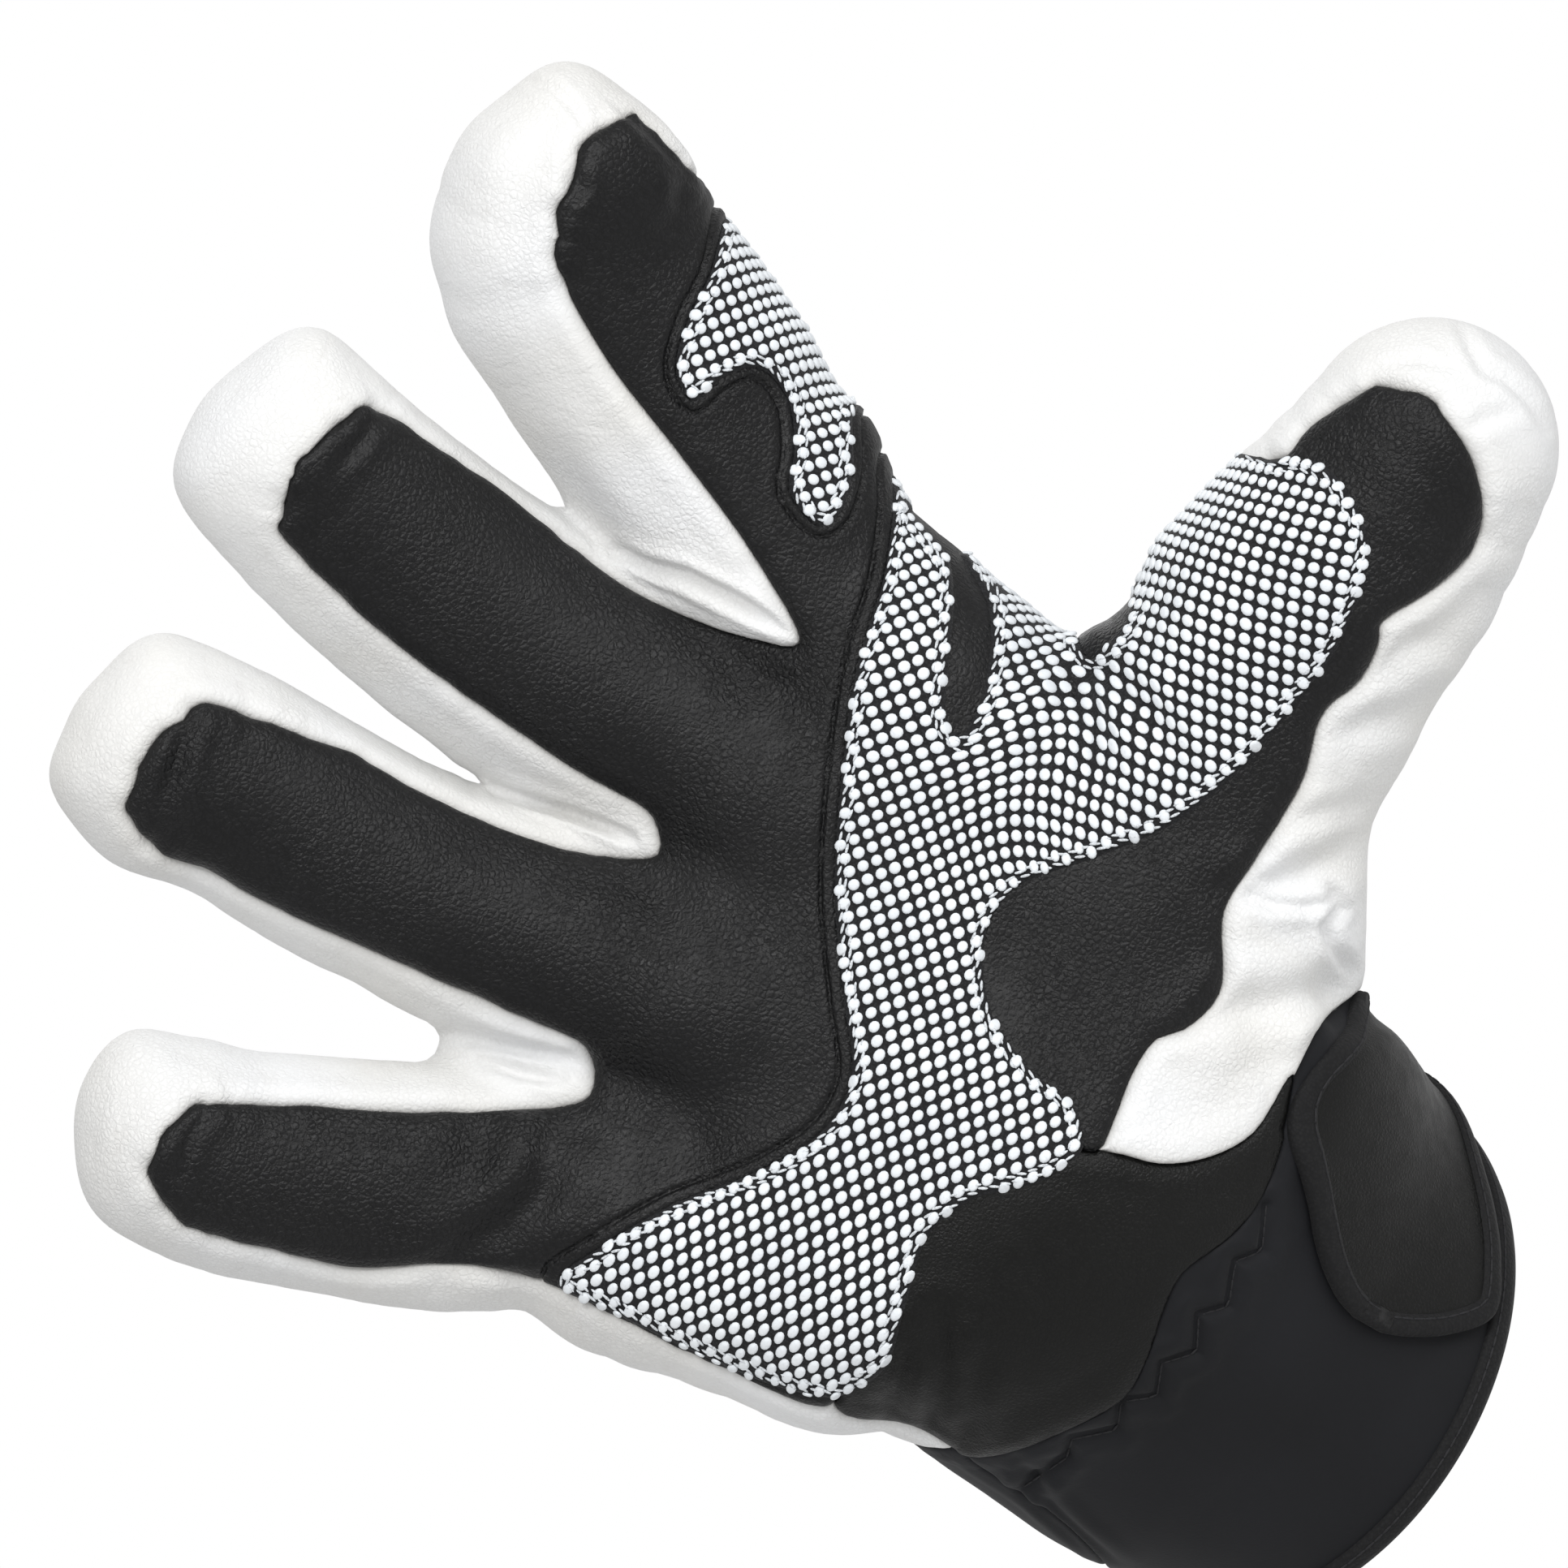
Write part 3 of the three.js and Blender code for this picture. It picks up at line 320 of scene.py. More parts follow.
def blended(a, b, fillet):
    h = np.maximum(0, fillet - np.abs(a - b)) / fillet
    return np.minimum(a, b) - h * h * fillet / 4


limb_tubes = {name: limb_tube(rows) for name, rows in LIMBS.items()}
palm_tubes = [limb_tube(rows) for rows in PALM.values()]
web_tubes = [limb_tube(rows) for rows in WEBS]
wrist_tube = cuff_tube()


def glove_distance(p, inset=0.0):
    """Distance to the glove's outer surface drawn in by inset, negative inside."""
    hand = palm_tubes[0].distance(p, inset)
    for tube in palm_tubes[1:]:
        hand = blended(hand, tube.distance(p, inset), BLEND["palm"])
    hand = blended(hand, wrist_tube.distance(p, inset), BLEND["cuff"])
    hand = blended(hand, limb_tubes["thumb"].distance(p, inset), BLEND["thumb"])
    for name in ("index", "middle", "ring", "little"):
        hand = blended(hand, limb_tubes[name].distance(p, inset), BLEND["knuckle"])
    if inset <= 0:
        for tube in web_tubes:
            hand = blended(hand, tube.distance(p, inset), BLEND["web"])
    return hand


def in_chunks(function, p, size=200000):
    return np.concatenate([function(p[i:i + size]) for i in range(0, len(p), size)])


# Meshes as an array of vertex columns and an array of triangles

P = slice(0, 3)  # place
N = slice(3, 6)  # outward direction
NEAR = 6  # rough distance to the nearest seam
CORNERS = np.array([(i, j, k) for i in (0, 1) for j in (0, 1) for k in (0, 1)])
EDGES = [
    (a, b) for a in range(8) for b in range(a + 1, 8) if np.abs(CORNERS[a] - CORNERS[b]).sum() == 1
]
BLOCK = 4  # grid cells along a block's side
FAR = 100  # stands for any distance in a block away from the surface
NEAR_MARGIN = 1.5  # makes up for distances that read too short
SURFACE_STEPS = 2
LONGEST_MOVE = 0.7  # in grid cells
WELD_STEPS = 1e4  # vertices in the same one of these steps to the millimetre are one


def grid_values(distance, cell):
    """Exact distances in the grid blocks near the surface, and only the sign elsewhere."""
    size = np.ceil((HIGH - LOW) / (cell * BLOCK)).astype(int)
    centres = LOW + (np.indices(size).reshape(3, -1).T + 0.5) * cell * BLOCK
    rough = in_chunks(distance, centres)
    near = np.abs(rough) < cell * BLOCK * math.sqrt(3) / 2 * NEAR_MARGIN
    value = np.sign(rough).reshape(size).astype(np.float32) * FAR
    for axis in range(3):
        value = np.repeat(value, BLOCK, axis)
    starts = np.argwhere(near.reshape(size)) * BLOCK
    local = np.indices((BLOCK,) * 3).reshape(3, -1).T
    places = (starts[:, None] + local[None]).reshape(-1, 3)
    value[tuple(places.T)] = in_chunks(distance, LOW + places * cell)
    return value


def slope(distance, p, step=0.05):
    here = in_chunks(distance, p)
    sides = [in_chunks(distance, p + np.eye(3)[axis] * step) for axis in range(3)]
    return here, np.stack([(side - here) / step for side in sides], axis=1)


def surface_mesh(distance, cell):
    """Surface nets: one vertex in each crossed cell, one quad for each crossed grid edge."""
    value = grid_values(distance, cell)
    within = value < 0
    counts = sum(
        within[i:within.shape[0] - 1 + i, j:within.shape[1] - 1 + j, k:within.shape[2] - 1 + k]
        .astype(np.int8)
        for i, j, k in CORNERS
    )
    cells = np.argwhere((counts > 0) & (counts < 8))
    corner = np.stack([value[tuple((cells + c).T)] for c in CORNERS], axis=1)
    total = np.zeros((len(cells), 3))
    number = np.zeros(len(cells))
    for a, b in EDGES:
        crossed = (corner[:, a] < 0) != (corner[:, b] < 0)
        span = np.where(crossed, corner[:, a] - corner[:, b], 1)
        t = corner[:, a] / span
        point = CORNERS[a] + (CORNERS[b] - CORNERS[a]) * t[:, None]
        total += np.where(crossed[:, None], point, 0)
        number += crossed
    p = LOW + (cells + total / number[:, None]) * cell
    for _ in range(SURFACE_STEPS):
        here, steep = slope(distance, p)
        move = -steep * (here / np.maximum(0.5, (steep ** 2).sum(1)))[:, None]
        p += np.clip(move, -LONGEST_MOVE * cell, LONGEST_MOVE * cell)
    triangles = grid_triangles(within, cells, p)
    return np.concatenate([p, unit(steep)], axis=1), triangles


def grid_triangles(within, cells, p):
    index = np.full(within.shape, -1)
    index[tuple(cells.T)] = np.arange(len(cells))
    quads = []
    for axis in range(3):
        u, v = np.eye(3, dtype=int)[[(axis + 1) % 3, (axis + 2) % 3]]
        lower = np.take(within, range(within.shape[axis] - 1), axis)
        upper = np.take(within, range(1, within.shape[axis]), axis)
        for inside in (True, False):
            at = np.argwhere((lower == inside) & (upper != inside))
            quad = [index[tuple((at - step).T)] for step in (0 * u, u, u + v, v)]
            quads.append(np.stack(quad if inside else quad[::-1], axis=1))
    quad = np.concatenate(quads)
    a, b, c, d = quad.T
    first = np.linalg.norm(p[a] - p[c], axis=1) <= np.linalg.norm(p[b] - p[d], axis=1)
    one = np.where(first[:, None], np.stack([a, b, c], 1), np.stack([a, b, d], 1))
    two = np.where(first[:, None], np.stack([a, c, d], 1), np.stack([b, c, d], 1))
    return np.concatenate([one, two])


def compact(v, t):
    used, inverse = np.unique(t, return_inverse=True)
    return v[used], inverse.reshape(-1, 3)


def joined(meshes):
    """Meshes put side by side as one."""
    starts = np.cumsum([0] + [len(v) for v, _ in meshes])
    triangles = [t + start for (_, t), start in zip(meshes, starts)]
    return np.concatenate([v for v, _ in meshes]), np.concatenate(triangles)


def welded(*meshes):
    """Meshes joined, with the vertices that share a place made one."""
    v, t = joined(meshes)
    _, first, inverse = np.unique(
        np.round(v[:, P] * WELD_STEPS).astype(np.int64), axis=0, return_index=True, return_inverse=True
    )
    t = inverse.reshape(-1)[t]
    flat = (t[:, 0] == t[:, 1]) | (t[:, 1] == t[:, 2]) | (t[:, 2] == t[:, 0])
    return v[first], t[~flat]


def edge_pairs(t):
    return np.sort(t[:, [[0, 1], [1, 2], [2, 0]]], axis=2).reshape(-1, 2)


def refined(v, t, longest):
    """Edges longer than their limit are split in the middle, and their triangles with them."""
    pairs = edge_pairs(t)
    keys, inverse = np.unique(pairs[:, 0] * len(v) + pairs[:, 1], return_inverse=True)
    i, j = keys // len(v), keys % len(v)
    length = np.linalg.norm(v[i, P] - v[j, P], axis=1)
    marked = length > np.minimum(longest[i], longest[j])
    number = np.full(len(keys), -1)
    number[marked] = len(v) + np.arange(marked.sum())
    middle = number[inverse.reshape(-1)].reshape(-1, 3)
    count = (middle >= 0).sum(1)
    made = [t[count == 0]]
    a, b, c = t[count == 3].T
    m, n, o = middle[count == 3].T
    made += [np.stack(s, 1) for s in ((a, m, o), (m, b, n), (o, n, c), (m, n, o))]
    for cuts in (1, 2):
        some = count == cuts
        odd = (middle[some] >= 0) if cuts == 1 else (middle[some] < 0)
        turn = (odd.argmax(1)[:, None] + [0, 1, 2]) % 3
        rows = np.arange(len(turn))[:, None]
        a, b, c = t[some][rows, turn].T
        m, n, o = middle[some][rows, turn].T
        if cuts == 1:
            made += [np.stack(s, 1) for s in ((a, m, c), (m, b, c))]
        else:
            made += [np.stack(s, 1) for s in ((o, n, c), (a, b, n), (a, n, o))]
    return np.concatenate([v, (v[i[marked]] + v[j[marked]]) / 2]), np.concatenate(made)


def split(mesh, value):
    """The parts of a mesh where a value is below zero and above it, cut along the line."""
    v, t = mesh
    below = value < 0
    count = below[t].sum(1)
    mixed = t[(count == 1) | (count == 2)]
    few = below[mixed].sum(1) == 1
    lone = np.where(few[:, None], below[mixed], ~below[mixed])
    turn = (lone.argmax(1)[:, None] + [0, 1, 2]) % 3
    a, b, c = mixed[np.arange(len(mixed))[:, None], turn].T
    pairs = np.sort(np.concatenate([np.stack([a, b], 1), np.stack([a, c], 1)]), axis=1)
    keys, inverse = np.unique(pairs[:, 0] * len(v) + pairs[:, 1], return_inverse=True)
    i, j = keys // len(v), keys % len(v)
    share = (value[i] / (value[i] - value[j]))[:, None]
    fresh = v[i] + (v[j] - v[i]) * share
    cut = len(v) + inverse.reshape(-1)
    ab, ac = cut[:len(a)], cut[len(a):]
    small = np.stack([a, ab, ac], 1)
    large = np.stack([np.stack([ab, b, c], 1), np.stack([ab, c, ac], 1)], 1)
    every = np.concatenate([v, fresh])
    kept = np.concatenate([t[count == 3], small[few], large[~few].reshape(-1, 3)])
    rest = np.concatenate([t[count == 0], small[~few], large[few].reshape(-1, 3)])
    return compact(every, kept), compact(every, rest)


def border_edges(t):
    """Directed edges that only one triangle uses."""
    directed = t[:, [[0, 1], [1, 2], [2, 0]]].reshape(-1, 2)
    ordered = np.sort(directed, axis=1)
    _, inverse, count = np.unique(ordered, axis=0, return_inverse=True, return_counts=True)
    return directed[count[inverse.reshape(-1)] == 1]


def part_numbers(t, count):
    """A number for each vertex that all vertices joined with it share."""
    number = np.arange(count)
    pairs = edge_pairs(t)
    while True:
        low = np.minimum(number[pairs[:, 0]], number[pairs[:, 1]])
        fresh = number.copy()
        np.minimum.at(fresh, pairs[:, 0], low)
        np.minimum.at(fresh, pairs[:, 1], low)
        fresh = fresh[fresh]
        if (fresh == number).all():
            return number
        number = fresh


def largest_part(mesh, rest):
    """The largest connected part of a mesh, and the rest with the other parts added."""
    v, t = mesh
    number = part_numbers(t, len(v))
    main = np.bincount(number[t[:, 0]]).argmax()
    own = number[t[:, 0]] == main
    if own.all():
        return mesh, rest
    return compact(v, t[own]), welded(rest, compact(v, t[~own]))


# Outlines

def outline(points):
    """A closed smooth curve through the points, in short steps."""
    ring = np.asarray(points, float)
    made = []
    for i in range(len(ring)):
        a, b, c, d = (ring[(i + k) % len(ring)] for k in (-1, 0, 1, 2))
        steps = max(1, round(np.linalg.norm(c - b) / RING_STEP))
        knots = np.cumsum([0] + [np.linalg.norm(q - p) ** 0.5 for p, q in ((a, b), (b, c), (c, d))])
        for s in range(steps):
            made.append(centripetal((a, b, c, d), knots, s / steps))
    return np.array(made)


def centripetal(four, knots, share):
    """Place at a share of the way from the second point to the third of four."""
    t = knots[1] + (knots[2] - knots[1]) * share
    points, gap = list(four), 1
    while len(points) > 1:
        made = []
        for i in range(len(points) - 1):
            low, high = (knots[i], knots[i + gap]) if gap < 3 else (knots[1], knots[2])
            made.append(((high - t) * points[i] + (t - low) * points[i + 1]) / (high - low))
        points, gap = made, gap + 1
    return points[0]


def ring_distance(places, ring, chunk=8000):
    """Distance in x and z from each place to a closed outline, negative inside."""
    start, end = ring, np.roll(ring, -1, axis=0)
    run = end - start
    square = np.maximum((run * run).sum(1), 1e-9)
    rise = np.where(np.abs(run[:, 1]) < 1e-9, 1e-9, run[:, 1])
    made = []
    for i in range(0, len(places), chunk):
        x, z = places[i:i + chunk, 0:1], places[i:i + chunk, 2:3]
        dx, dz = x - start[:, 0], z - start[:, 1]
        t = np.clip((dx * run[:, 0] + dz * run[:, 1]) / square, 0, 1)
        gap = (dx - t * run[:, 0]) ** 2 + (dz - t * run[:, 1]) ** 2
        crossing = (start[:, 1] > z) != (end[:, 1] > z)
        left = x < start[:, 0] + dz * run[:, 0] / rise
        inside = (crossing & left).sum(1) % 2 == 1
        made.append(np.sqrt(gap.min(1)) * np.where(inside, -1, 1))
    return np.concatenate(made)


def line_distance(places, line):
    """Distance in x and z from each place to an open line, and the share along it."""
    line = np.asarray(line, float)
    start, run = line[:-1], np.diff(line, axis=0)
    square = (run * run).sum(1)
    length = np.sqrt(square)
    so_far = np.concatenate([[0], np.cumsum(length)])
    dx = places[:, 0:1] - start[:, 0]
    dz = places[:, 2:3] - start[:, 1]
    t = np.clip((dx * run[:, 0] + dz * run[:, 1]) / square, 0, 1)
    gap = (dx - t * run[:, 0]) ** 2 + (dz - t * run[:, 1]) ** 2
    best = gap.argmin(1)
    rows = np.arange(len(places))
    along = so_far[best] + t[rows, best] * length[best]
    return np.sqrt(gap[rows, best]), along / so_far[-1]


def grown(ring, distance):
    """The outline moved outwards by a distance."""
    ring = np.asarray(ring, float)
    after = np.roll(ring, -1, axis=0)
    area = (ring[:, 0] * after[:, 1] - after[:, 0] * ring[:, 1]).sum()
    run = unit(after - np.roll(ring, 1, axis=0))
    return ring + distance * np.sign(area) * np.stack([run[:, 1], -run[:, 0]], 1)


RINGS = {
    "palm": outline(
        INDEX_FRONT + MIDDLE_FRONT + RING_FRONT + LITTLE_FRONT + ULNAR_SEAM + HEEL_TOP
        + THENAR_SEAM + INDEX_SIDE
    ),
    "thumb": outline(THENAR_SEAM + THUMB_FRONT),
    "heel": outline(
        [(-54, 46)] + HEEL_TOP + [(-2, 52), (0, 46)] + THUMB_WHITE_LOW[:-3]
        + HEEL_FREE_EDGE[::-1] + [(-48, 37)]
    ),
    "cuff": outline(HEEL_FREE_EDGE + [(29, 33), (37, 35.8), (44, 35), (62, 34.5)] + CUFF_FRONT),
    "thumb_white": outline(
        [(0, 46)] + THUMB_WHITE_LOW + [(140, 34), (140, 112), (56, 108), (50, 101), (30, 84), (6, 66)]
    ),
    "thumb_back": outline(THUMB_BACK),
}
GRIPS = {"palm": outline(GRIP_PALM), "window": outline(GRIP_WINDOW), "index": outline(GRIP_INDEX)}


# Noise and the shapes of relief

HASH = (73856093, 19349663, 83492791, 2654435761)  # large odd numbers that mix a cell's place


def lattice_noise(p, seed):
    """Smooth seeded noise from -1 to 1 with one swing for each unit of length."""
    cell = np.floor(p).astype(np.int64)
    f = p - cell
    f = f * f * (3 - 2 * f)
    total = np.zeros(len(p))
    for corner in CORNERS:
        x, y, z = (cell + corner).T
        mixed = (x * HASH[0]) ^ (y * HASH[1]) ^ (z * HASH[2]) ^ (seed * HASH[3])
        mixed = (mixed ^ (mixed >> 13)) * 1274126177 & 0xFFFFFFFF
        mixed = (mixed ^ (mixed >> 16)) & 0xFFFF
        weight = np.prod(np.where(corner, f, 1 - f), axis=1)
        total += weight * (mixed / 32767.5 - 1)
    return total


def smoothstep(low, high, value):
    t = np.clip((value - low) / (high - low), 0, 1)
    return t * t * (3 - 2 * t)


def bell(value, centre, width):
    """One at the centre, fading out on both sides."""
    return np.exp(-((value - centre) / width) ** 2)


def rolled(share):
    """Drop of a rounded edge, from one at its rim to none where it meets the flat."""
    return 1 - np.sqrt(np.clip(1 - (1 - np.clip(share, 0, 1)) ** 2, 0, 1))


LIMB_AXES = {name: unit(tube.centre[-1] - tube.centre[1]) for name, tube in limb_tubes.items()}
UPWARDS = np.array([0.0, 0.0, 1.0])
LIMB_FADE = 5.0  # how fast a limb's share fades away from it
LIMB_ROOT = (-6, 16)  # where along a limb its share grows from none to full
PALM_LEAST = 0.02
VALLEY_SHARPNESS = 0.18


def limb_weights(p):
    """How much each limb owns each point, with the palm and cuff as one more limb."""
    made = {}
    for name, tube in limb_tubes.items():
        close = np.exp(-np.maximum(0, tube.distance(p)) / LIMB_FADE)
        made[name] = close * smoothstep(*LIMB_ROOT, (p - tube.centre[1]) @ LIMB_AXES[name])
    made["palm"] = np.maximum(PALM_LEAST, 1 - sum(made.values()))
    total = sum(made.values())
    return {name: weight / total for name, weight in made.items()}


def stretched(p, axis, across, along):
    """Places scaled by a wavelength along an axis and another across it."""
    share = p @ axis
    return p / across + axis * (share * (1 / along - 1 / across))[:, None]


def creases(p, weights, along, across, seed):
    """Noise whose ridges run across each limb."""
    total = np.zeros(len(p))
    for name, weight in weights.items():
        axis = LIMB_AXES.get(name)
        q = p / ((along + across) / 2) if axis is None else stretched(p, axis, across, along)
        total += weight * lattice_noise(q, seed)
    return total


def ridged(noise):
    """Noise turned into narrow valleys between rounded swells."""
    return 1 - 2 * np.exp(-np.abs(noise) / VALLEY_SHARPNESS)


# Stitched line of steps on the cuff
STAIR_LINE = seen(
    (1262, 1832), (1315, 1794), (1319, 1772), (1376, 1760), (1380, 1725), (1424, 1719),
    (1430, 1677), (1473, 1665), (1475, 1618), (1512, 1608), (1520, 1552), (1553, 1540),
    (1558, 1484),
)

# Folds and creases on the palm's side: depth and half width in mm, and a line of steps right
# and down in the view
FOLDS = [
    (1.5, 2.4, [(1322, 815), (1340, 880), (1352, 960)]),
    (1.2, 2.2, [(1322, 840), (1290, 900), (1262, 960)]),
    (1.1, 2.0, [(1345, 815), (1420, 880), (1452, 960)]),
    (1.0, 3.0, [(1540, 1235), (1560, 1290), (1575, 1330)]),
    (0.5, 1.6, [(1690, 835), (1730, 800), (1775, 790)]),
    (1.0, 1.9, [(1650, 905), (1700, 888), (1740, 878), (1768, 860)]),
    (0.8, 1.6, [(1590, 1012), (1630, 1002), (1690, 985)]),
    (1.6, 2.2, [(1500, 1098), (1560, 1092), (1600, 1078), (1640, 1056), (1680, 1028)]),
    (0.9, 0.9, [(1525, 1100), (1560, 1113), (1600, 1117), (1625, 1112), (1640, 1100)]),
    (1.2, 0.9, [(1636, 1092), (1646, 1118), (1630, 1140), (1638, 1166), (1662, 1196)]),
    (1.5, 2.5, [(1480, 1256), (1520, 1241), (1570, 1234), (1620, 1222), (1668, 1206)]),
    (0.7, 0.9, [(1795, 408), (1808, 436), (1822, 458), (1850, 472), (1875, 495), (1900, 530)]),
    (0.5, 1.2, [(1795, 536), (1822, 520), (1855, 510)]),
    (0.5, 1.8, [(1798, 692), (1830, 662), (1855, 636)]),
    (0.8, 2.2, [(1715, 812), (1750, 795), (1790, 770), (1825, 735)]),
    (0.4, 0.9, [(1650, 480), (1690, 458), (1740, 448), (1780, 458)]),
    (0.5, 0.8, [(645, 100), (680, 108), (705, 130), (724, 165)]),
    (0.5, 2.6, [(677, 140), (662, 190), (652, 250), (647, 310)]),
    (0.6, 1.2, [(786, 150), (822, 190), (843, 230), (838, 262), (820, 280)]),
    (0.4, 0.8, [(800, 160), (840, 200), (862, 240)]),
    (0.6, 1.1, [(702, 205), (716, 235), (700, 262)]),
    (0.9, 1.4, [(236, 880), (224, 930), (206, 985)]),
    (0.5, 1.2, [(470, 505), (450, 540), (420, 575)]),
    (0.5, 1.0, [(262, 1362), (236, 1400), (222, 1450)]),
    (1.7, 0.9, [(760, 680), (800, 697), (840, 708), (880, 728), (920, 748), (966, 777)]),
    (0.7, 2.2, [(690, 560), (720, 620), (760, 676)]),
    (1.7, 0.9, [(612, 974), (650, 985), (700, 1000), (740, 1016), (778, 1034)]),
    (1.5, 1.2, [(556, 1268), (600, 1278), (650, 1290), (705, 1304)]),
    (1.3, 1.0, [(600, 1306), (640, 1320), (690, 1330)]),
    (1.5, 2.6, [(540, 1562), (585, 1532), (630, 1502), (690, 1450)]),
    (1.0, 3.2, [(590, 1370), (588, 1420), (575, 1470)]),
    (0.8, 2.6, [(700, 1385), (672, 1425), (660, 1470)]),
    (0.9, 1.1, [(1252, 1795), (1265, 1815), (1280, 1840), (1300, 1865), (1330, 1895), (1385, 1940)]),
    (1.3, 1.8, [(1118, 1650), (1108, 1700), (1098, 1750)]),
    (1.5, 2.0, [(1155, 1620), (1160, 1690), (1146, 1760)]),
    (1.2, 1.8, [(1200, 1670), (1192, 1725), (1190, 1770)]),
    (0.6, 2.4, [(1060, 1690), (1064, 1720), (1052, 1745)]),
]


FAR_OFF = 30.0  # stands for any longer distance to a seam or fold
FOLD_RIM = (0.45, 2.2)  # swell beside a fold: share of its depth, and place in half widths
NARROW_FOLD = 1.5


def fold_gaps(p):
    """Each fold with the share of its length and the gap to it at each point near it."""
    flat = p[:, [0, 2]]
    ahead = behind(p) < 8
    for depth, wide, line in FOLDS:
        line = np.array(seen(*line))
        low, high = line.min(0) - 5 * wide, line.max(0) + 5 * wide
        near = np.flatnonzero(((flat > low) & (flat < high)).all(1) & ahead)
        gap, along = line_distance(p[near], line)
        yield depth, wide, near, gap, along


def fold_depth(p, n):
    """Depth of the folds at each point."""
    total = np.zeros(len(p))
    rim, place = FOLD_RIM
    for depth, wide, near, gap, along in fold_gaps(p):
        fade = np.sqrt(np.clip(np.sin(np.pi * (0.04 + 0.92 * along)), 0, 1))
        facing = smoothstep(8, 2, behind(p[near])) * smoothstep(0.0, -0.35, n[near, 1])
        valley = bell(gap, 0, wide) - rim * bell(gap, place * wide, wide)
        total[near] += depth * valley * fade * facing
    return total


def fold_nearness(p):
    """Distance to the nearest narrow fold."""
    least = np.full(len(p), FAR_OFF)
    for _, wide, near, gap, _ in fold_gaps(p):
        if wide < NARROW_FOLD:
            least[near] = np.minimum(least[near], gap)
    stair, _ = line_distance(p, STAIR_LINE)
    return np.minimum(least, np.where(behind(p) < 0, stair, FAR_OFF))


# Panels

def padding_lift(p, n):
    """Rise of the padding over the round sections, along the outline and fading inwards."""
    rows = np.array(PADDING)
    at = np.array(seen(*rows[:, :2]))
    among = ((at[:, None] - at[None]) ** 2).sum(2) / (2 * PADDING_REACH ** 2)
    pull = np.linalg.solve(np.exp(-among) + PADDING_EASE * np.eye(len(at)), rows[:, 2])
    lift = np.zeros(len(p))
    for (x, z), amount in zip(at, pull):
        near = np.flatnonzero((np.abs(p[:, 0] - x) < PADDING_END) & (np.abs(p[:, 2] - z) < PADDING_END))
        gap = (p[near, 0] - x) ** 2 + (p[near, 2] - z) ** 2
        lift[near] += amount * np.exp(-gap / (2 * PADDING_REACH ** 2))
    return lift * smoothstep(0.95, 0.6, np.abs(n[:, 1]))


# Near seams and folds: distance to them, and the longest edge of the mesh there
FINE_STEPS = [(4.5, 1.05), (2.6, 0.6)]
HEM_LAP = 1.4  # how far the panels run down under the hem's tape
PANEL_LAP = 0.4  # how far a later outline is widened, so that no sliver is left beside it


def cut_out(mesh, ring, widen=0.0):
    """The parts of a mesh inside an outline and outside it."""
    return split(mesh, ring_distance(mesh[0], ring) - widen)


def over_back_seam(v):
    """Height of a point over the seam between the hand's back and the cuff."""
    return v[:, 2] - BACK_SEAM["z"] - BACK_SEAM["slope"] * (v[:, 1] - BACK_SEAM["y"])


def panels():
    """The outer surface cut into its pattern pieces."""
    v, t = surface_mesh(glove_distance, SKIN_CELL)
    v[:, P] += v[:, N] * padding_lift(v[:, P], v[:, N])[:, None]
    for reach, longest in FINE_STEPS:
        near = np.minimum(seam_nearness(v), fold_nearness(v) + 1.0)
        v, t = refined(v, t, np.where(near < reach, longest, np.inf))
    v = np.concatenate([v, seam_nearness(v)[:, None]], axis=1)
    v[:, N] = unit(v[:, N])
    _, skin = split((v, t), -v[:, P] @ CUFF_AXIS - (HEM_BAND - HEM_LAP))
    front, back = split(skin, behind(skin[0]))
    made = {}
    made["palm_panel"], front = largest_part(*cut_out(front, RINGS["palm"]))
    for name, ring in (("thumb_panel", "thumb"), ("heel_panel", "heel"), ("cuff_front", "cuff")):
        made[name], front = largest_part(*cut_out(front, RINGS[ring], PANEL_LAP))
    thumb_front, hand_front = cut_out(front, RINGS["thumb_white"])
    thumb_back, hand_back = cut_out(back, RINGS["thumb_back"])
    hand = welded(hand_front, hand_back)
    made["cuff_back"], made["hand_back"] = split(hand, over_back_seam(hand[0]))
    made["thumb_back"] = welded(thumb_front, thumb_back)
    return made, skin


def behind(v):
    """How far a point lies behind the front pieces' rear edge."""
    return v[:, 1] - mid_depth(v[:, 0], v[:, 2]) - SIDE_TUCK


def seam_nearness(v):
    """Rough distance to the nearest cut line."""
    at = behind(v)
    least = np.abs(over_back_seam(v))
    for name, ring in RINGS.items():
        d = ring_distance(v, ring)
        other_side = np.maximum(0, -at if name == "thumb_back" else at)
        least = np.minimum(least, np.minimum(np.hypot(d, other_side), np.hypot(np.maximum(0, d), at)))
    for ring in GRIPS.values():
        least = np.minimum(least, np.hypot(ring_distance(v, ring), np.maximum(0, at)))
    return np.minimum(least, FAR_OFF)


# Edge of each panel: how far it drops into its seam, over what width, and how much it puckers
PANEL_EDGES = {
    "palm_panel": (0.9, 1.5, 0.25),
    "thumb_panel": (0.9, 1.5, 0.2),
    "heel_panel": (0.8, 1.4, 0.15),
    "hand_back": (1.1, 2.2, 0.3),
    "thumb_back": (1.1, 2.2, 0.3),
    "cuff_front": (0.5, 1.2, 0.1),
    "cuff_back": (0.5, 1.2, 0.1),
}
# Edges that lie on top of their neighbour, by panel, and how high they stand
PROUD = {"heel_panel": (HEEL_FREE_EDGE, 0.45), "thumb_back": (THUMB_WHITE_LOW, 0.9)}
TIPS = np.array([tube.centre[-1] for tube in limb_tubes.values()])
SEAM_SHADE = 0.7  # how fast the painted shade in a seam fades out
PUCKER_LENGTH = 2.9
PUCKER_REACH = 2.6
TIP_GATHERS = 2.2  # how much more the edges pucker round the fingertips


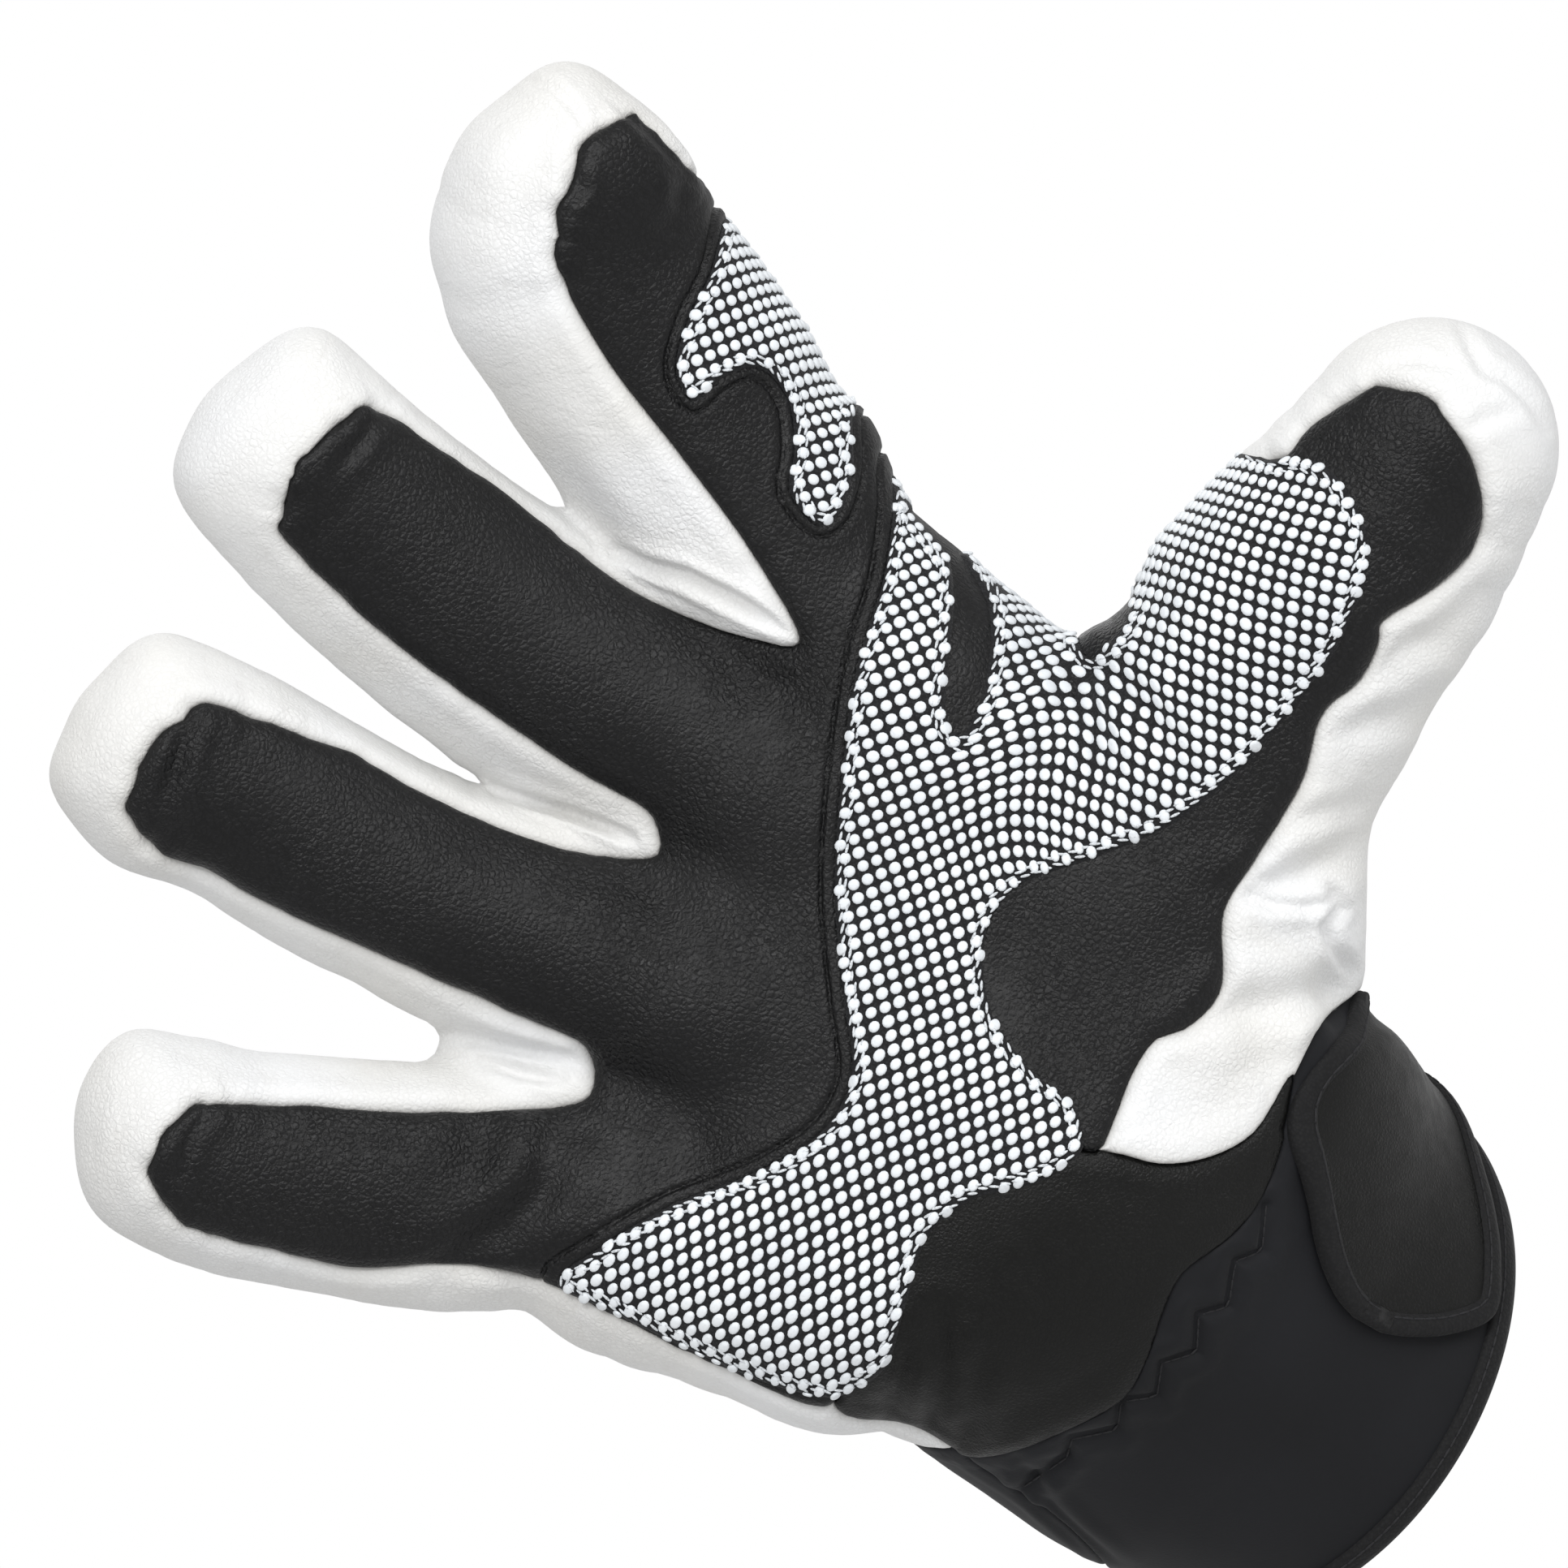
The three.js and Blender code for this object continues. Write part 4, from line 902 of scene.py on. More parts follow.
def seam_field(v, t):
    """Distance from each vertex to its panel's edge, and the nearest place on that edge."""
    rim = border_edges(t)
    points = np.concatenate([v[rim[:, 0], P], (v[rim[:, 0], P] + v[rim[:, 1], P]) / 2])
    tree = KDTree(len(points))
    for i, point in enumerate(points.tolist()):
        tree.insert(point, i)
    tree.balance()
    distance = np.full(len(v), SEAM_REACH)
    nearest = v[:, P].copy()
    for i in np.flatnonzero(v[:, NEAR] < SEAM_REACH):
        place, _, gap = tree.find(v[i, P])
        distance[i] = min(gap, SEAM_REACH)
        nearest[i] = place
    rim_vertices = np.unique(rim)
    distance[rim_vertices] = 0
    return distance, nearest, rim


def edge_lift(name, distance, nearest):
    """Rise of a panel near its edge, and how deep in the seam each vertex lies, as the strength of the
    painted seam shade.
    """
    drop, width, pucker = PANEL_EDGES[name]
    puff = 0.25 * bell(distance, 3, 1.8)
    tips = np.min(np.linalg.norm(nearest[:, None] - TIPS[None], axis=2), axis=1)
    gather = pucker * (1 + TIP_GATHERS * smoothstep(26, 14, tips))
    fade = np.exp(-distance / PUCKER_REACH) * (distance < SEAM_REACH)
    lift = -drop * rolled(distance / width) + puff
    lift = lift + gather * lattice_noise(nearest / PUCKER_LENGTH, 5) * fade
    if name in PROUD:
        line, top = PROUD[name]
        gap, _ = line_distance(nearest, line)
        rise = top * smoothstep(SEAM_REACH, 1.0, distance) - 0.5 * top * rolled(distance / 0.8)
        lift = lift + (rise - lift) * smoothstep(2.2, 0.6, gap)
    return lift, np.exp(-distance / SEAM_SHADE)


# Relief of each kind of panel. Creases: height, wavelengths along and across a limb, the
# noise's seed, and whether they are narrow valleys. Swells: height, wavelength and seed.
CREASES = {
    "white": [(0.16, 7.0, 20.0, 1, False), (0.035, 3.0, 12.0, 2, True)],
    "black": [(0.05, 3.6, 8.0, 4, False)],
    "soft": [],
}
SWELLS = {"white": (0.7, 30, 3), "black": (0.40, 26, 6), "soft": (0.45, 24, 7)}


def form_lift(p, n, weights, kind):
    """Folds, creases and swells that a panel has away from its edges."""
    lift = -fold_depth(p, n)
    for height, along, across, seed, narrow in CREASES[kind]:
        noise = creases(p, weights, along, across, seed)
        lift += height * (ridged(noise) if narrow else noise)
    height, wavelength, seed = SWELLS[kind]
    return lift + height * lattice_noise(p / wavelength, seed)


RIDGES = [("palm", 1.75), ("index", 1.3)]  # grips with a turned edge beside them, and its width


def ridge_lift(p):
    """Turned leather edge beside the grip on the palm's side."""
    total = np.zeros(len(p))
    for name, wide in RIDGES:
        d = ring_distance(p, GRIPS[name])
        wide = wide + 0.3 * lattice_noise(p / 18, 9)
        turned = smoothstep(-0.4, 0.3, d) * smoothstep(wide, wide - 0.5, d)
        groove, swell = bell(d - wide, 0.1, 0.26), bell(d - wide, 1.4, 0.9)
        total += 0.35 * turned - 0.5 * groove + 0.15 * swell
    return total


def stair_lift(p):
    """Stitched valley of the line of steps, and the puckered swell beside it."""
    d, _ = line_distance(p, STAIR_LINE)
    pucker = 0.3 * lattice_noise(p / 3.2, 8)
    swell = (0.45 + pucker) * bell(d, 2.6, 1.3)
    return np.where(behind(p) < 0, swell - bell(d, 0, 0.8), 0)


def dressed(name, mesh, kind, material):
    """A panel with its seams, folds and turned-in edge."""
    v, t = mesh
    p, n = v[:, P], unit(v[:, N])
    weights = limb_weights(p)
    distance, nearest, rim = seam_field(v, t)
    lift, shade = edge_lift(name, distance, nearest)
    lift = lift + form_lift(p, n, weights, kind) * smoothstep(-0.5, 3.0, distance)
    if name == "palm_panel":
        lift = lift + ridge_lift(p)
    if name == "cuff_front":
        lift = lift + stair_lift(p)
    placed = p + n * lift[:, None]
    return turned_in(name + "_cover", placed, n, t, rim, FLANGE, flow_places(p, weights), shade, material)


def flow_places(p, weights):
    """Places stretched across each limb, for grain and creases in the materials."""
    total = np.zeros_like(p)
    for name, weight in weights.items():
        axis = LIMB_AXES.get(name)
        q = p if axis is None else stretched(p, axis, 2.0, 1.0)
        total += weight[:, None] * q
    return total


# Objects

def turned_in(name, p, n, t, rim, depth, flow, shade, material):
    """The object of a sheet whose edge is turned in, with its places and triangles."""
    start = rim[:, 0]
    number = {old: len(p) + i for i, old in enumerate(start.tolist())}
    inner = np.array([[number.get(a, -1), number.get(b, -1)] for a, b in rim.tolist()])
    whole = (inner >= 0).all(1)
    a, b = rim[whole].T
    c, d = inner[whole].T
    places = np.concatenate([p, p[start] - n[start] * depth])
    faces = np.concatenate([t, np.stack([b, a, c], 1), np.stack([b, c, d], 1)])
    flow = np.concatenate([flow, flow[start]])
    # The turned-in edge is painted in full seam shade.
    shade = np.concatenate([shade, np.ones(len(rim))])
    return add_mesh(name, places, faces, material, flow, shade), places, faces


def add_mesh(name, places, faces, material, flow=None, shade=None):
    """A smooth object, with the columns that its material reads where it reads them."""
    mesh = bpy.data.meshes.new(name)
    mesh.from_pydata((np.asarray(places) * MM).tolist(), [], np.asarray(faces).tolist())
    mesh.shade_smooth()
    if flow is not None:
        stretch = mesh.attributes.new("flow", "FLOAT_VECTOR", "POINT")
        stretch.data.foreach_set("vector", np.asarray(flow, np.float32).ravel())
        # The shade column carries painted seam shade to the materials.
        painted_shade = mesh.attributes.new("shade", "FLOAT", "POINT")
        painted_shade.data.foreach_set("value", np.asarray(shade, np.float32))
    mesh.materials.append(material)
    made = bpy.data.objects.new(name, mesh)
    bpy.context.collection.objects.link(made)
    return made


def bvh(places, faces):
    return BVHTree.FromPolygons(np.asarray(places).tolist(), np.asarray(faces).tolist())


RAY_START = -200.0


def onto(tree, places):
    """Places and outward directions where lines from the palm's side meet a surface."""
    found, facing = [], []
    for x, z in np.asarray(places).tolist():
        hit, normal, _, _ = tree.ray_cast(Vector((x, RAY_START, z)), Vector((0, 1, 0)))
        if hit is None:
            hit, normal = (np.nan,) * 3, (0, -1, 0)
        elif normal.y > 0:
            normal = -normal
        found.append(tuple(hit))
        facing.append(tuple(normal))
    return np.array(found), np.array(facing)


def stamped(template, faces, origins, frames):
    """Copies of a template at each origin; a frame's rows are its three axes."""
    places = np.einsum("vi,nij->nvj", template, frames) + origins[:, None]
    numbers = faces[None] + (np.arange(len(origins)) * len(template))[:, None, None]
    return places.reshape(-1, 3), numbers.reshape(-1, 3)


def ball_template(rings, around):
    """Unit ball as rings along x."""
    places = [(-1, 0, 0)]
    for r in range(1, rings):
        turn = math.pi * r / rings
        for k in range(around):
            a = 2 * math.pi * k / around
            places.append((-math.cos(turn), math.sin(turn) * math.cos(a), math.sin(turn) * math.sin(a)))
    places.append((1, 0, 0))
    faces = []
    for k in range(around):
        following = (k + 1) % around
        faces.append((0, 1 + following, 1 + k))
        for r in range(rings - 2):
            a, b = 1 + r * around + k, 1 + r * around + following
            faces += [(a, b, b + around), (a, b + around, a + around)]
        last = 1 + (rings - 2) * around
        faces.append((last + k, last + following, len(places) - 1))
    return np.array(places), np.array(faces)


def dome_template(around, rings):
    """Low dome with its flat side down: radius and height for each ring."""
    places = [(0, 0, rings[0][1])]
    faces = []
    for radius, height in rings[1:]:
        for k in range(around):
            a = 2 * math.pi * k / around
            places.append((radius * math.cos(a), radius * math.sin(a), height))
    for k in range(around):
        following = (k + 1) % around
        faces.append((0, 1 + k, 1 + following))
        for r in range(len(rings) - 2):
            a, b = 1 + r * around + k, 1 + r * around + following
            faces += [(a, a + around, b + around), (a, b + around, b)]
    return np.array(places), np.array(faces)


# Grip fabric with its lattice of dots

PITCH = (2.2, 2.1)
LATTICE_EASE = 30  # smooths the turn from one measured place to the next, in mm squared
# Measured directions of the two families of rows: place in the view, then the angle across
# each family, in degrees turning from right to down
LATTICE = [
    (1100, 850, 158.7, 67.1), (1120, 1040, 159, 66.7), (1090, 1200, 166.2, 69.4),
    (1130, 1330, 171.9, 68.7), (1000, 1450, 167.2, 61.8), (900, 1580, 174.9, 66),
    (1050, 1600, 180, 66), (1230, 880, 152.6, 57.1), (1330, 960, 192.6, 116.1),
    (1450, 850, 182.9, 104.5), (1540, 720, 183.7, 103), (1600, 640, 194.7, 100.5),
    (950, 430, 160, 70.6), (1010, 560, 162, 76.5),
]


def lattice_pulls(p, n, weights):
    """Wanted slopes of the two row counts on the surface.

    Each direction is the measured one against the limb's axis, turned round the limb with it.
    """
    places = np.array(seen(*(row[:2] for row in LATTICE)))
    gap = ((p[:, None, [0, 2]] - places[None]) ** 2).sum(2)
    weight = 1 / (gap + LATTICE_EASE) ** 2
    weight /= weight.sum(1, keepdims=True)
    axes = sum(share[:, None] * LIMB_AXES.get(name, UPWARDS) for name, share in weights.items())
    along = unit(axes - n * (axes * n).sum(1)[:, None])
    aside = np.cross(n, along)
    flat = unit(axes[:, [0, 2]])
    pulls = []
    for family, pitch in enumerate(PITCH):
        angle = np.radians([row[2 + family] for row in LATTICE])
        wave = np.stack([np.cos(angle), np.sin(angle)], 1)
        across = unit(weight @ np.stack([wave[:, 0] - wave[:, 1], -wave.sum(1)], 1))
        cosine = (flat * across).sum(1)[:, None]
        sine = (across[:, 1] * flat[:, 0] - across[:, 0] * flat[:, 1])[:, None]
        pulls.append((along * cosine + aside * sine) / pitch)
    return pulls


MOST_STEPS = 900
SMALL_ENOUGH = 1e-7
SAME_DEPTH = 6.0  # crossings of the same rows within this depth are one dot
FLAT = 1e-9  # least area that a triangle counts as having, in row counts
SLACK = 1e-6  # a crossing this far outside a triangle still counts as on its edge


def row_counts(p, t, pull):
    """The smooth count whose slopes fit the wanted ones best, by conjugate gradients."""
    pairs = np.unique(edge_pairs(t), axis=0)
    i, j = pairs.T
    step = ((pull[i] + pull[j]) / 2 * (p[j] - p[i])).sum(1)

    def gathered(flow):
        return np.bincount(j, flow, len(p)) - np.bincount(i, flow, len(p))

    count = np.zeros(len(p))
    residual = gathered(step)
    search = residual.copy()
    power = residual @ residual
    for _ in range(MOST_STEPS):
        image = gathered(search[j] - search[i])
        rate = power / max(search @ image, 1e-12)
        count += rate * search
        residual -= rate * image
        fresh = residual @ residual
        if fresh < SMALL_ENOUGH:
            break
        search = residual + search * (fresh / power)
        power = fresh
    return count


def lattice_dots(p, n, t, s, r):
    """Places, directions and lattice steps of the crossings of whole rows."""
    rows = np.stack([s, r], axis=1)
    (s_b, r_b), (s_c, r_c) = ((rows[t[:, k]] - rows[t[:, 0]]).T for k in (1, 2))
    area = s_b * r_c - s_c * r_b
    area = np.where(np.abs(area) < FLAT, FLAT, area)
    found = {}
    for ahead in ((0, 0), (0, 1), (1, 0), (1, 1)):
        whole = np.ceil(np.min(rows[t], 1)) + ahead
        to_s, to_r = (whole - rows[t[:, 0]]).T
        u = (to_s * r_c - s_c * to_r) / area
        w = (s_b * to_r - to_s * r_b) / area
        for k in np.flatnonzero((u >= -SLACK) & (w >= -SLACK) & (u + w <= 1 + SLACK)):
            first, others = t[k, 0], t[k, 1:]
            edges = p[others] - p[first]
            turns = n[others] - n[first]
            place = p[first] + u[k] * edges[0] + w[k] * edges[1]
            facing = n[first] + u[k] * turns[0] + w[k] * turns[1]
            steps = np.linalg.pinv(rows[others] - rows[first]) @ edges
            key = (*whole[k].round().astype(int).tolist(), round(float(place[1] / SAME_DEPTH)))
            found.setdefault(key, (place, facing, steps[0], steps[1]))
    return [np.array(column) for column in zip(*found.values())]


GRIP_RISE = 0.5
GRIP_FLANGE = 1.2
DOT_MARGIN = 0.25  # dots have their middle at least this far in from the fabric's edge
DOT_SIZES = (0.94, 1.06)
DOT_SIDES = 12
DOT_RINGS = [(0, 0.42), (0.5, 0.40), (0.82, 0.30), (1.0, 0.10), (1.02, -0.15)]
DOT_SHARE = 0.41  # a dot's half size as a share of the lattice step
TOP_SPAN = 1.35  # a lattice step is never taken longer than this share of its pitch


def grip_surface(skin, ring, holes):
    """The skin in front inside an outline and outside its holes."""
    front, _ = split(skin, behind(skin[0]))
    sheet, _ = cut_out(front, ring)
    for hole in holes:
        _, sheet = cut_out(sheet, hole)
    return sheet


def grip_pieces(name, skin, ring, holes, looks, seed):
    """The fabric, its dots and its edge stitches."""
    v, t = grip_surface(skin, ring, holes)
    p, n = v[:, P], unit(v[:, N])
    weights = limb_weights(p)
    distance, _, rim = seam_field(np.concatenate([p, n, np.zeros((len(p), 1))], 1), t)
    edge = 0.5 * (1 - smoothstep(0, 0.9, distance))
    lift = GRIP_RISE + form_lift(p, n, weights, "black") - edge
    placed = p + n * lift[:, None]
    counts = [row_counts(p, t, pull) for pull in lattice_pulls(p, n, weights)]
    shade = np.exp(-distance / SEAM_SHADE)
    fabric, _, _ = turned_in(
        name, placed, n, t, rim, GRIP_FLANGE, flow_places(p, weights), shade, looks["knit"]
    )
    kept = t[(distance > DOT_MARGIN)[t].all(1)]
    origin, facing, step_s, step_r = lattice_dots(placed, n, kept, *counts)
    random = np.random.default_rng(seed)
    size = DOT_SHARE * random.uniform(*DOT_SIZES, (len(origin), 1))
    steps = []
    for step, pitch in zip((step_s, step_r), PITCH):
        length = np.linalg.norm(step, axis=1, keepdims=True)
        steps.append(step * np.minimum(1, TOP_SPAN * pitch / np.maximum(length, 1e-9)) * size)
    frames = np.stack([steps[0], steps[1], unit(facing)], axis=1)
    turned = (np.cross(steps[0], steps[1]) * facing).sum(1) < 0
    frames[turned, 0] *= -1
    dome = dome_template(DOT_SIDES, DOT_RINGS)
    dots = add_mesh(name + "_dots", *stamped(*dome, origin, frames), looks["dot"])
    tree = bvh(placed, t)
    stitches = grip_stitches(name, tree, [ring] + holes, looks["white_thread"], random)
    return fabric, dots, stitches


def resampled(ring, pitch, closed=True):
    """Points at an even pitch along a line."""
    points = np.concatenate([ring, ring[:1]]) if closed else np.asarray(ring, float)
    length = np.concatenate([[0], np.cumsum(np.linalg.norm(np.diff(points, axis=0), axis=1))])
    number = max(2, round(length[-1] / pitch))
    at = np.linspace(0, length[-1], number, endpoint=not closed)
    return np.stack([np.interp(at, length, points[:, k]) for k in range(points.shape[1])], axis=1)


DASH_LENGTHS = (0.2, 6)  # anything shorter or longer is a miss and is left out


def thread(places, facing, radius, sink):
    """Short capsules that join each place to the next where both are on the surface."""
    return dashes(places[:-1], places[1:], facing[:-1], radius, sink)


def dashes(start, end, facing, radius, sink):
    """A short capsule from each start to its end where both are on the surface."""
    fair = ~np.isnan(start).any(1) & ~np.isnan(end).any(1)
    length = np.linalg.norm(np.nan_to_num(end - start), axis=1)
    fair &= (length > DASH_LENGTHS[0]) & (length < DASH_LENGTHS[1])
    start, end, length, up = start[fair], end[fair], length[fair], unit(facing[fair])
    along = (end - start) / length[:, None]
    side = unit(np.cross(up, along))
    up = np.cross(along, side)
    half = (length * 0.5 + radius * 0.6)[:, None]
    frames = np.stack([along * half, side * radius, up * radius * 0.8], 1)
    return stamped(*ball_template(4, 7), (start + end) / 2 + up * (radius * 0.5 - sink), frames)


STITCH_ROWS = [(0.95, 1.7), (1.9, 1.7)]  # inset from the fabric's edge, and pitch
STITCH_LENGTH = 1.45
STITCH_RADIUS = 0.24
THREAD_RADIUS = 0.2


def grip_stitches(name, tree, rings, material, random):
    """Rows of slim stitches just inside the fabric's edge, a little out of line."""
    made = []
    for number, ring in enumerate(rings):
        side = -1 if number == 0 else 1
        for inset, pitch in STITCH_ROWS:
            line = resampled(grown(ring, side * inset), pitch)
            run = unit(np.roll(line, -1, axis=0) - np.roll(line, 1, axis=0))
            across = np.stack([run[:, 1], -run[:, 0]], 1)
            lean = random.uniform(0.08, 0.3, (len(line), 1))
            drift = random.uniform(-0.15, 0.15, (len(line), 1))
            half = random.uniform(0.42, 0.5, (len(line), 1)) * STITCH_LENGTH
            ends = [line + run * half * way + across * (drift + lean * way) for way in (-1, 1)]
            start, facing = onto(tree, ends[0])
            end, _ = onto(tree, ends[1])
            made.append(dashes(start, end, facing, STITCH_RADIUS, -0.5 * STITCH_RADIUS))
    return add_mesh(name + "_stitches", *joined(made), material)


# Cuff, strap and hem

CUFF_RADII = (20.0, 80.0)  # the cuff's surface lies between these
HALVINGS = 14


def cuff_points(degrees, up, out):
    """Places on the cuff's outer surface at angles and heights, moved outwards."""
    angle = np.radians(np.asarray(degrees, float))
    up = np.broadcast_to(np.asarray(up, float), angle.shape)
    towards = np.cos(angle)[:, None] * CUFF_WIDE + np.sin(angle)[:, None] * CUFF_PALM
    centre = -CUFF_AXIS * up[:, None]
    near, far = (np.full(len(angle), radius) for radius in CUFF_RADII)
    for _ in range(HALVINGS):
        middle = (near + far) / 2
        inside = glove_distance(centre + towards * middle[:, None]) < 0
        near, far = np.where(inside, middle, near), np.where(inside, far, middle)
    skin = centre + towards * near[:, None]
    return skin + towards * (out + padding_lift(skin, towards))[:, None]


def grid_faces(rows, columns, closed_rows=False, closed_columns=False):
    faces = []
    for r in range(rows if closed_rows else rows - 1):
        for c in range(columns if closed_columns else columns - 1):
            a = r * columns + c
            b = r * columns + (c + 1) % columns
            d = (r + 1) % rows * columns + c
            e = (r + 1) % rows * columns + (c + 1) % columns
            faces += [(a, b, e), (a, e, d)]
    return np.array(faces)


HEM_SECTION = [
    (-WALL - 0.9, HEM_BAND), (-WALL - 1.0, 2.4), (-WALL - 0.6, 0.9), (-WALL + 0.8, 0.0), (-2, -0.15),
    (-0.8, 0.0), (0.5, 0.7), (0.95, 1.8), (1.0, 3.0), (0.9, HEM_BAND - 0.5), (0.45, HEM_BAND),
    (-0.6, HEM_BAND + 0.1),
]
HEM_STATIONS = 240
HEM_STITCH = 2.6  # degrees from one stitch to the next
HEM_STITCH_UP = HEM_BAND - 1.1
STAIR_STITCH = 1.5
LINING_START = 2.0  # how far up from the hem's edge the lining starts


def hem_binding(look, thread_look):
    """The tape round the opening and its stitches."""
    degrees = np.arange(HEM_STATIONS) * 360 / HEM_STATIONS
    places = np.concatenate([cuff_points(degrees, up, out) for out, up in HEM_SECTION])
    faces = grid_faces(len(HEM_SECTION), HEM_STATIONS, closed_rows=True, closed_columns=True)
    tape = add_mesh("hem_tape", places, faces, look)
    degrees = np.arange(0, 360, HEM_STITCH)
    line, core = (cuff_points(degrees, HEM_STITCH_UP, out) for out in (1.0, 0.0))
    stitches = thread(line, line - core, THREAD_RADIUS, 0.12)
    return tape, add_mesh("hem_stitches", *stitches, thread_look)


STRAP_STEPS = 8
# How deep the strap goes under the thumb's leather, and between which gaps to its outline
STRAP_SINKS = [(5.5, 1.5, -2.5), (1.4, 9.0, 1.5)]


def strap_loop(inset):
    """The strap's outline drawn in by inset, as places along it and up the cuff."""
    rows = smooth_rows([(angle * ARC_PER_DEGREE, low, high) for angle, low, high in STRAP], STRAP_STEPS)
    lower, upper = rows[:, [0, 1]], rows[:, [0, 2]]
    return grown(np.concatenate([lower, upper[::-1]]), -inset)


def strap_points(places, out):
    """Places over the cuff, sinking where the strap passes under the thumb's leather."""
    degrees = places[:, 0] / ARC_PER_DEGREE
    skin = cuff_points(degrees, places[:, 1], 0.0)
    gap = ring_distance(skin, RINGS["thumb_white"])
    sunk = sum(depth * smoothstep(start, end, gap) for depth, start, end in STRAP_SINKS)
    return cuff_points(degrees, places[:, 1], STRAP_CLEAR + out - sunk)


# Tape round the strap's edge: how far in from the edge, and height over the cuff
TAPE_SECTION = [
    (0.25, 0.0), (0.0, 0.6), (0.1, 1.5), (0.6, 2.1), (1.6, 2.35), (2.7, 2.3), (3.4, 2.0), (3.7, 1.3),
]
FACE_RISE = 1.55
FACE_UNDER = 0.2
FACE_ROWS = 18
FACE_LAP = 0.3  # how far the leather reaches in under the tape
STRAP_STITCH = {"inset": STRAP_TAPE - 0.75, "pitch": 2.1, "rise": 2.28}


def strap_tape(look):
    rows = [strap_points(strap_loop(inset), rise) for inset, rise in TAPE_SECTION]
    faces = grid_faces(len(rows), len(rows[0]), closed_columns=True)
    return add_mesh("strap_tape", np.concatenate(rows), faces, look)


def strap_leather(look):
    """The strap's face between its tapes, a sheet above and one below."""
    loop = strap_loop(STRAP_TAPE - FACE_LAP)
    half = len(loop) // 2
    low, high = loop[:half], loop[::-1][:half]
    grid = np.concatenate([low + (high - low) * share for share in np.linspace(0, 1, FACE_ROWS)])
    faces = grid_faces(FACE_ROWS, half)
    v, t = joined([
        (strap_points(grid, FACE_RISE), faces[:, ::-1]), (strap_points(grid, FACE_UNDER), faces),
    ])
    return add_mesh("strap_leather", v, t, look, v, np.zeros(len(v)))


def strap_stitches(look):
    line = resampled(strap_loop(STRAP_STITCH["inset"]), STRAP_STITCH["pitch"])
    at, core = (strap_points(line, rise) for rise in (STRAP_STITCH["rise"], 0.0))
    return add_mesh("strap_stitches", *thread(at, at - core, THREAD_RADIUS, 0.1), look)


def stair_stitches(tree, look):
    found, facing = onto(tree, resampled(np.array(STAIR_LINE), STAIR_STITCH, closed=False))
    return add_mesh("cuff_stitches", *thread(found, facing, THREAD_RADIUS, 0.1), look)


def lining(look):
    v, t = surface_mesh(lambda p: glove_distance(p, WALL), LINING_CELL)
    _, (v, t) = split((v, t), -v[:, P] @ CUFF_AXIS - LINING_START)
    return add_mesh("inner_lining", v[:, P], t[:, ::-1], look)


# Materials

class Look:
    """A material with short ways to add and join its nodes."""

    def __init__(self, name):
        self.material = bpy.data.materials.new(name)
        self.material.use_nodes = True
        self.nodes = self.material.node_tree.nodes
        self.links = self.material.node_tree.links
        self.shader = self.nodes["Principled BSDF"]
        self.place = self.add("ShaderNodeTexCoord", {}).outputs["Object"]

    def fill(self, node, inputs):
        for key, value in inputs.items():
            if isinstance(value, bpy.types.NodeSocket):
                self.links.new(value, node.inputs[key])
            else:
                node.inputs[key].default_value = value

    def add(self, kind, inputs, **settings):
        node = self.nodes.new(kind)
        for key, value in settings.items():
            setattr(node, key, value)
        self.fill(node, inputs)
        return node

    def product(self, a, b):
        return self.add("ShaderNodeMath", {0: a, 1: b}, operation="MULTIPLY").outputs[0]

    def column(self, name, output):
        return self.add("ShaderNodeAttribute", {}, attribute_name=name).outputs[output]

    def noise(self, vector, wavelength, detail=2.0, rough=0.5, distortion=0.0):
        return self.add(
            "ShaderNodeTexNoise",
            {"Vector": vector, "Scale": 1 / wavelength, "Detail": detail, "Roughness": rough,
             "Distortion": distortion},
        ).outputs["Fac"]

    def cells(self, vector, size, feature="F1"):
        inputs = {"Vector": vector, "Scale": 1 / size}
        return self.add("ShaderNodeTexVoronoi", inputs, feature=feature).outputs["Distance"]

    def warped(self, vector, wavelength, amount):
        """The places pushed about by noise."""
        push = self.add("ShaderNodeTexNoise", {"Vector": vector, "Scale": 1 / wavelength}).outputs["Color"]
        return self.add(
            "ShaderNodeVectorMath", {0: push, 1: (amount,) * 3, 2: vector}, operation="MULTIPLY_ADD"
        ).outputs["Vector"]

    def ramp(self, value, low, high, start=0.0, end=1.0):
        return self.add(
            "ShaderNodeMapRange",
            {"Value": value, "From Min": low, "From Max": high, "To Min": start, "To Max": end},
        ).outputs["Result"]

    def mixed(self, share, first, second):
        node = self.add("ShaderNodeMix", {}, data_type="RGBA")
        self.fill(node, {0: share})
        for socket, value in ((node.inputs[6], first), (node.inputs[7], second)):
            if isinstance(value, bpy.types.NodeSocket):
                self.links.new(value, socket)
            else:
                socket.default_value = (*value, 1.0)
        return node.outputs[2]

    def bump(self, height, distance, strength=1.0, before=None):
        inputs = {"Height": height, "Distance": distance * MM, "Strength": strength}
        if before is not None:
            inputs["Normal"] = before
        return self.add("ShaderNodeBump", inputs).outputs["Normal"]

    def cloth(self, pattern, span, low, high, relief, finish):
        """The whole finish of a cloth, with one colour in a pattern's lows and one in its highs."""
        self.fill(self.shader, {
            "Base Color": self.mixed(self.ramp(pattern, *span), low, high),
            "Normal": self.bump(pattern, *relief),
            **finish,
        })
        return self.material


